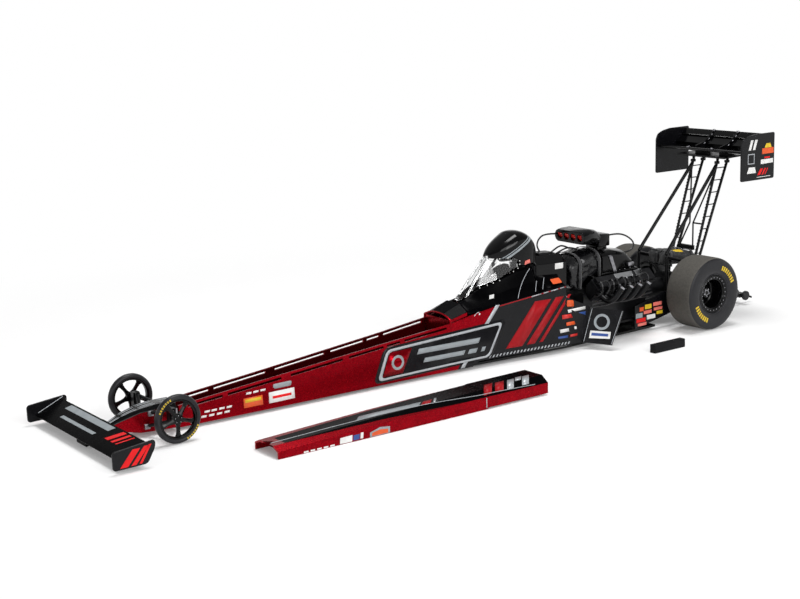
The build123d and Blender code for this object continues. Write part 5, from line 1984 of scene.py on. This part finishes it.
    def build(self) -> None:
        """Builds the engine."""
        self.hat().piece("hat_shell", GLOSS, stands_for=("injector_hat",), bevel=0.2, sharp=40)
        dress(SCARLET, "hat_butterflies")
        self.blower().piece("blower_case", [GLOSS, STEEL], stands_for=("blower",), bevel=0.3, sharp=40)
        dress(CAST, "engine_block", "cylinder_head_left", "cylinder_head_right", "gearbox", "axle_housing",
              "valve_cover_left", "valve_cover_right")
        dress(STEEL, "blower_strap")
        for side in ("left", "right"):
            self.pipes().on(side).piece(
                f"header_pipes_{side}", [SATIN, STEEL], stands_for=(f"headers_{side}",), sharp=50)
            self.wires().on(side).piece(f"plug_wires_{side}", HOSE)
            lids = [[(a, -0.2), (b, -0.2), (b, -3.3), (a, -3.3)] for a, b in self.lids]
            self.cover_face.prints(lids, 0.0, 0.5).on(side).piece(f"cover_lid_{side}", CHROME, bevel=0.15)
        fuel = Form()
        for route in self.fuel_routes:
            fuel.hose(list(route), 0.45)
        fuel.piece("fuel_hoses", HOSE, stands_for=("fuel_lines",))
        self.details()
        dress(SATIN, "rear_frame", "wheelie_bar")
        dress(STEEL, "rear_shaft")
        dress(SIDEWALL, "wheelie_wheels")
        dress(PANEL, "deflector_left", "deflector_right", "lower_panel_left", "lower_panel_right")

    def details(self) -> None:
        """Builds the small fittings and the blank patches on the deflectors and the lower panels."""
        fittings = Form()
        for place, size in self.fittings:
            fittings.box(place, size, round_by=0.3)
        for x in self.plug_places:
            fittings.rod((x, 15.7, 30.0), (x, 16.6, 29.1), 0.7, sides=10)
        fittings.mirrored().piece("engine_fittings", STEEL)
        for name, (finish, lift, outlines) in self.deflector_marks().items():
            self.deflector_face.prints(outlines, lift).mirrored().piece(name, finish)
        for name, (finish, spots) in self.panel_marks().items():
            upright([oblong(*spot) for spot in spots], self.panel_y).piece(name, finish)

    def deflector_marks(self) -> dict[str, tuple[Finish, float, Outlines]]:
        """The deflectors' blank marks, as finish, lift and outlines on their face."""
        return {
            "deflector_roundel": (GREY, 0.06, ring_outlines(
                round_outline(self.roundel, 4.2), round_outline(self.roundel, 2.9))),
            "deflector_patch_white": (
                WHITE, 0.06, [[(1.0, -11.9), (11.8, -11.65), (11.7, -15.3), (0.7, -15.9)]]),
            "deflector_patch_blue": (BLUE, 0.1, [[(1.8, -13.0), (10.6, -12.8), (10.5, -14.2), (1.7, -14.5)]]),
            "deflector_edges": (
                SILVER, 0.06,
                [
                    [(0.3, -0.4), (0.55, -0.4), (-1.75, -18.0), (-2.0, -18.0)],
                    [(16.3, -0.4), (16.55, -0.4), (12.95, -18.0), (12.7, -18.0)]]),
        }

    def panel_marks(self) -> dict[str, tuple[Finish, list[tuple[float, ...]]]]:
        """The lower panels' blank patches, as finish and each one's middle, width and height."""
        return {
            "panel_patches_orange": (ORANGE, [(34.0, 13.2, 3.0, 2.2)]),
            "panel_patches_yellow": (YELLOW, [(29.0, 14.0, 5.0, 2.5), (20.3, 9.6, 4.6, 1.8)]),
            "panel_patches_rose": (ROSE, [
                (22.0, 14.6, 6.5, 2.0), (29.4, 11.1, 6.0, 1.8), (21.5, 11.9, 6.5, 1.6), (33.6, 4.9, 6.5, 1.6)
            ]),
            "panel_patches_grey": (GREY, [(35.8, 9.9, 5.0, 2.6)]),
            "panel_patches_red": (BRIGHT_RED, [(34.4, 7.2, 7.0, 2.2)]),
            "panel_patches_white": (WHITE, [(26.8, 8.1, 6.4, 2.4)]),
        }


@dataclass
class Cloth:
    """The padded blanket ahead of the blower and the two parachute packs."""

    blanket_table: Table = (
        (80.0, 6.7, 30.6, 38.4, 42.8), (76.0, 9.1, 28.6, 41.0, 46.9), (69.0, 9.9, 34.8, 42.6, 48.7),
        (58.6, 9.2, 34.8, 42.6, 48.0),
    )
    pack_outline: Outline = (
        (8.5, 32.6), (8.5, 39.4), (3.0, 40.1), (-2.0, 39.6), (-12.0, 38.6), (-15.2, 36.2), (-15.9, 32.6))
    pack_inside: float = 0.7
    pack_outside: float = 7.3
    print_x: Pair = (-5.0, 2.0)
    print_y: Pair = (1.5, 6.6)
    fill: float = 0.6
    padding: Padding = Padding()

    def strap(self, x: float, row: tuple[float, ...]) -> Form:
        """A flat strap over the blanket.

        Args:
            x: Its middle.
            row: The blanket's half width, base, shoulder and crown there.

        Returns:
            The form.
        """
        w, base, shoulder, crown = row
        rows = [arch(x + step, w + 0.55, base, shoulder, crown + 0.6) for step in (0.9, -0.9)]
        return Form().loft(rows, closed=False)

    def pack(self) -> Form:
        """The left pack."""
        form = Form().wall(list(self.pack_outline), self.pack_inside, self.pack_outside)
        made = self.padding.puff(form)
        (rear, front), (inner, outer) = self.print_x, self.print_y
        return made.paint(
            1, lambda f: f.normal.z > 0.6 and rear < middle(f).x < front and inner < middle(f).y < outer)

    def band(self, x: float, low: float, high: float) -> Form:
        """A webbing band round a pack.

        Args:
            x: Its middle.
            low: Its lower height.
            high: Its upper height.

        Returns:
            The form.
        """
        inside, outside = self.pack_inside - 0.4, self.pack_outside + 0.45
        rows = [
            [(x + step, inside, low), (x + step, outside, low), (x + step, outside, high - 1.0),
             (x + step, outside - 1.0, high), (x + step, inside + 1.0, high), (x + step, inside, high - 1.0)]
            for step in (0.8, -0.8)
        ]
        return Form().loft(rows, caps=False)

    def build(self) -> None:
        """Builds the soft pieces and what holds them."""
        blanket = Form().loft([arch(*row) for row in self.blanket_table])
        made = self.padding.puff(blanket).piece(
            "blanket_padding", VINYL, stands_for=("blower_blanket",), sharp=80)
        for name, x, row in (
            ("front", 75.4, (9.3, 29.6, 41.3, 47.2)), ("rear", 62.0, (9.5, 34.8, 42.6, 48.3))):
            self.strap(x, row).piece(f"blanket_strap_{name}", WEBBING, thick=0.3, offset=1.0)
        for side in ("left", "right"):
            finishes = [NYLON, YELLOW] if side == "left" else [NYLON, NYLON]
            made = self.pack().on(side).piece(
                f"parachute_pack_{side}", finishes, stands_for=("parachute_packs",), sharp=80)
            for name, x, high in (("front", 5.6, 40.2), ("rear", -10.6, 39.2)):
                self.band(x, 32.2, high).on(side).piece(
                    f"pack_band_{name}_{side}", WEBBING, thick=0.25, offset=1.0)


@dataclass
class LooseParts:
    """The nose cowl and the stand block that lie on the floor beside the car."""

    rows: Table = (
        (297.0, 9.4, 0.0, 3.2, 4.9), (243.0, 9.8, 0.0, 5.2, 7.0), (188.0, 9.9, 0.0, 5.7, 8.1),
        (187.7, 10.2, 0.8, 5.8, 8.3), (152.4, 10.2, 0.8, 5.8, 8.7),
    )
    middle: float = 60.4
    flat: float = 0.6
    skin: float = 0.8
    notch_half: float = 2.6
    notch_depth: float = 3.4
    lobe_x: float = 291.5
    skirt_face: Flat = Flat((297.0, 69.8, 0.0), (-54.0, 0.4, 0.0), (0.0, 0.0, 1.0))
    line_places: Outline = ((296.0, 62.4), (268.1, 63.2), (228.6, 65.5), (187.2, 69.0), (156.0, 70.2))
    seam: Outline = ((188.9, 0.6), (188.5, 0.6), (188.5, 5.4), (188.9, 5.4))
    seam_y: Pair = (70.32, 70.38)
    block: tuple[Triple, Triple] = ((50.4, 48.3, 2.2), (22.0, 3.8, 4.4))
    near_edge: tuple[Pair, Pair] = ((297.0, 5.5), (200.0, 9.9))
    far_edge: tuple[Pair, Pair] = ((297.0, -2.7), (192.0, -6.0))

    def height(self, x: float, away: float) -> float:
        """The cowl's height at x, that far from its middle line."""
        rows = self.rows
        a, b = next(((a, b) for a, b in zip(rows, rows[1:]) if b[0] <= x <= a[0]), (rows[0], rows[0]))
        t = (a[0] - x) / (a[0] - b[0]) if a[0] > b[0] else 0.0
        _, w, _, skirt, crown = [p + (q - p) * t for p, q in zip(a, b)]
        share = min(max((abs(away) - self.flat * w) / (w - self.flat * w), 0.0), 1.0)
        return crown + (skirt - crown) * share

    def cowl(self) -> Form:
        """The cowl: black along its top, red down its sides and at its nose."""
        rows = []
        for n, (x, w, base, skirt, crown) in enumerate(self.rows):
            v, k = w - self.skin, self.skin
            half = [(w, base), (w, skirt), (self.flat * w, crown), (self.notch_half, crown), (0.0, crown)]
            under = [
                (v, base), (v, skirt - 0.5), (self.flat * v, crown - k), (self.notch_half, crown - k),
                (0.0, crown - k)]
            outer = half + [(-y, z) for y, z in reversed(half[:-1])]
            inner = under + [(-y, z) for y, z in reversed(under[:-1])]
            back = self.notch_depth if n == 0 else 0.0
            rows.append(
                [(x - (back if y == 0.0 else 0.0), self.middle + y, z) for y, z in outer + inner[::-1]])
        form = Form().loft(rows)
        for (fx, fy), (rx, ry) in (self.near_edge, self.far_edge):
            form.cut((fx, self.middle + fy, 0), Vector((rx - fx, ry - fy, 0)).cross(UP))
            form.cut((rx, 0, 0), (1, 0, 0))
        form.cut((self.lobe_x, 0, 0), (1, 0, 0))

        def within(spot: Vector, edge: tuple[Pair, Pair], side: int) -> bool:
            """Whether a place lies inside one edge of the black top, or behind its end.

            Args:
                spot: The place.
                edge: The edge's front and rear ends.
                side: 1 for the near edge, -1 for the far one.

            Returns:
                Whether it does.
            """
            (fx, fy), (rx, ry) = edge
            limit = fy + (ry - fy) * (fx - spot.x) / (fx - rx)
            return spot.x < rx or side * (spot.y - self.middle) < side * limit

        def dark(face: bmesh.types.BMFace) -> bool:
            """Whether a face belongs to the black top."""
            spot = middle(face)
            return (face.normal.z > 0.3 and spot.x < self.lobe_x and within(spot, self.near_edge, 1)
                    and within(spot, self.far_edge, -1))

        return form.paint(1, dark)

    def prints(self, outlines: Outlines, lift: float = 0.06) -> Form:
        """Thin marks on the cowl's top.

        Args:
            outlines: Each mark's outline in x, y.
            lift: How far they stand off the surface.

        Returns:
            The form.
        """
        form = Form()
        for outline in outlines:
            form.bm.faces.new(form.ring([(x, y, 0.0) for x, y in outline]))
        for a, b in zip(self.rows, self.rows[1:]):
            form.cut((b[0], 0, 0), (1, 0, 0))
            for side in (-1, 1):
                span = [f for f in form.bm.faces if b[0] < middle(f).x < a[0]]
                line = Vector((b[0] - a[0], side * self.flat * (b[1] - a[1]), 0))
                form.cut((a[0], self.middle + side * self.flat * a[1], 0), line.cross(UP), span)
        for vert in form.bm.verts:
            vert.co.z = self.height(vert.co.x, vert.co.y - self.middle) + lift
        return form

    def line(self) -> Form:
        """The silver line along the cowl's near side."""
        points = []
        for (x0, y0), (x1, y1) in zip(self.line_places, self.line_places[1:]):
            for n in range(8):
                x, y = x0 + (x1 - x0) * n / 8, y0 + (y1 - y0) * n / 8
                points.append((x, y, self.height(x, y - self.middle) + 0.05))
        return Form().hose(points, 0.16, 1)

    def build(self) -> None:
        """Builds both."""
        self.cowl().piece("cowl_shell", [RED, DEEP], "cowl", ("lift_off_cowl",), bevel=0.3, sharp=18)
        self.line().piece("cowl_line", SILVER, "cowl")
        for name, (finish, outlines) in self.top_marks().items():
            self.prints(outlines).piece(name, finish, "cowl", thick=0.03, offset=0.0)
        for name, (finish, lift, outlines) in self.skirt_marks().items():
            self.skirt_face.prints(outlines, lift).piece(name, finish, "cowl")
        Form().wall(list(self.seam), *self.seam_y).piece("cowl_seam", SILVER, "cowl")
        Form().box(*self.block, round_by=0.3).piece("stand_block_body", MATT, "block", ("stand_block",))

    def top_marks(self) -> dict[str, tuple[Finish, Outlines]]:
        """The marks on the cowl's top, as finish and outlines in x, y."""
        return {
            "cowl_squares": (STRIPE_RED, [
                [(182.9, 61.4), (178.0, 61.4), (185.0, 69.4), (189.6, 69.4)],
                [(177.0, 62.1), (171.8, 62.1), (178.0, 69.4), (183.0, 69.4)],
            ]),
            "cowl_checks": (SILVER, [
                [(170.2, 62.5), (166.1, 62.5), (172.0, 69.4), (176.0, 69.4)],
                [(164.6, 61.6), (160.9, 61.6), (164.9, 66.1), (168.6, 66.1)],
                [(161.1, 62.4), (157.0, 62.4), (162.8, 69.2), (166.9, 69.2)],
            ]),
            "cowl_bar_grey": (GREY, [[(250.6, 59.9), (254.4, 63.4), (222.6, 65.4), (219.0, 61.9)]]),
            "cowl_bar_red": (STRIPE_RED, [[(218.0, 62.0), (221.6, 65.6), (216.9, 66.0), (213.2, 62.3)]]),
            "cowl_bar_white": (SILVER, [[(211.6, 61.6), (215.6, 66.3), (214.3, 66.4), (210.2, 61.6)]]),
        }

    def skirt_marks(self) -> dict[str, tuple[Finish, float, Outlines]]:
        """The marks on the cowl's near side, as finish, lift and outlines on its face."""
        dashes = [
            [(u, 0.2), (u + 2.2, 0.2), (u + 2.2, 0.9), (u, 0.9)] for u in (12.0, 15.2, 18.4, 21.6, 24.8)]
        return {
            "skirt_patches_white": (
                WHITE, 0.05,
                [
                    [(29.6, 0.3), (35.7, 0.3), (35.9, 3.1), (29.8, 2.9)],
                    [(39.9, 0.6), (41.3, 0.6), (41.5, 3.2), (40.1, 3.2)], *dashes]),
            "skirt_patch_blue": (BLUE, 0.05, [[(36.3, 0.6), (39.4, 0.6), (39.6, 2.8), (36.5, 2.8)]]),
            "skirt_badge_grey": (
                GREY, 0.05, [[(44.8, 0.2), (44.8, 2.2), (50.0, 3.7), (55.1, 3.1), (55.1, 0.2)]]),
            "skirt_badge_orange": (
                ORANGE, 0.09, [[(45.8, 0.5), (45.9, 1.9), (50.0, 2.7), (54.1, 2.2), (54.1, 0.5)]]),
        }


def main() -> None:
    """Builds every sub-assembly in order."""
    view = bpy.context.scene.view_settings
    view.view_transform = "Standard"
    parts = (
        Studio(), BodySide(), Nose(), FrontWheels(), RearWheels(), Cockpit(), Engine(), Cloth(), RearWing(),
        LooseParts())
    for part in parts:
        LOG.info("building %s", type(part).__name__)
        part.build()
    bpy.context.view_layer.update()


if __name__ == "__main__":
    logging.basicConfig(level=logging.INFO)
    main()
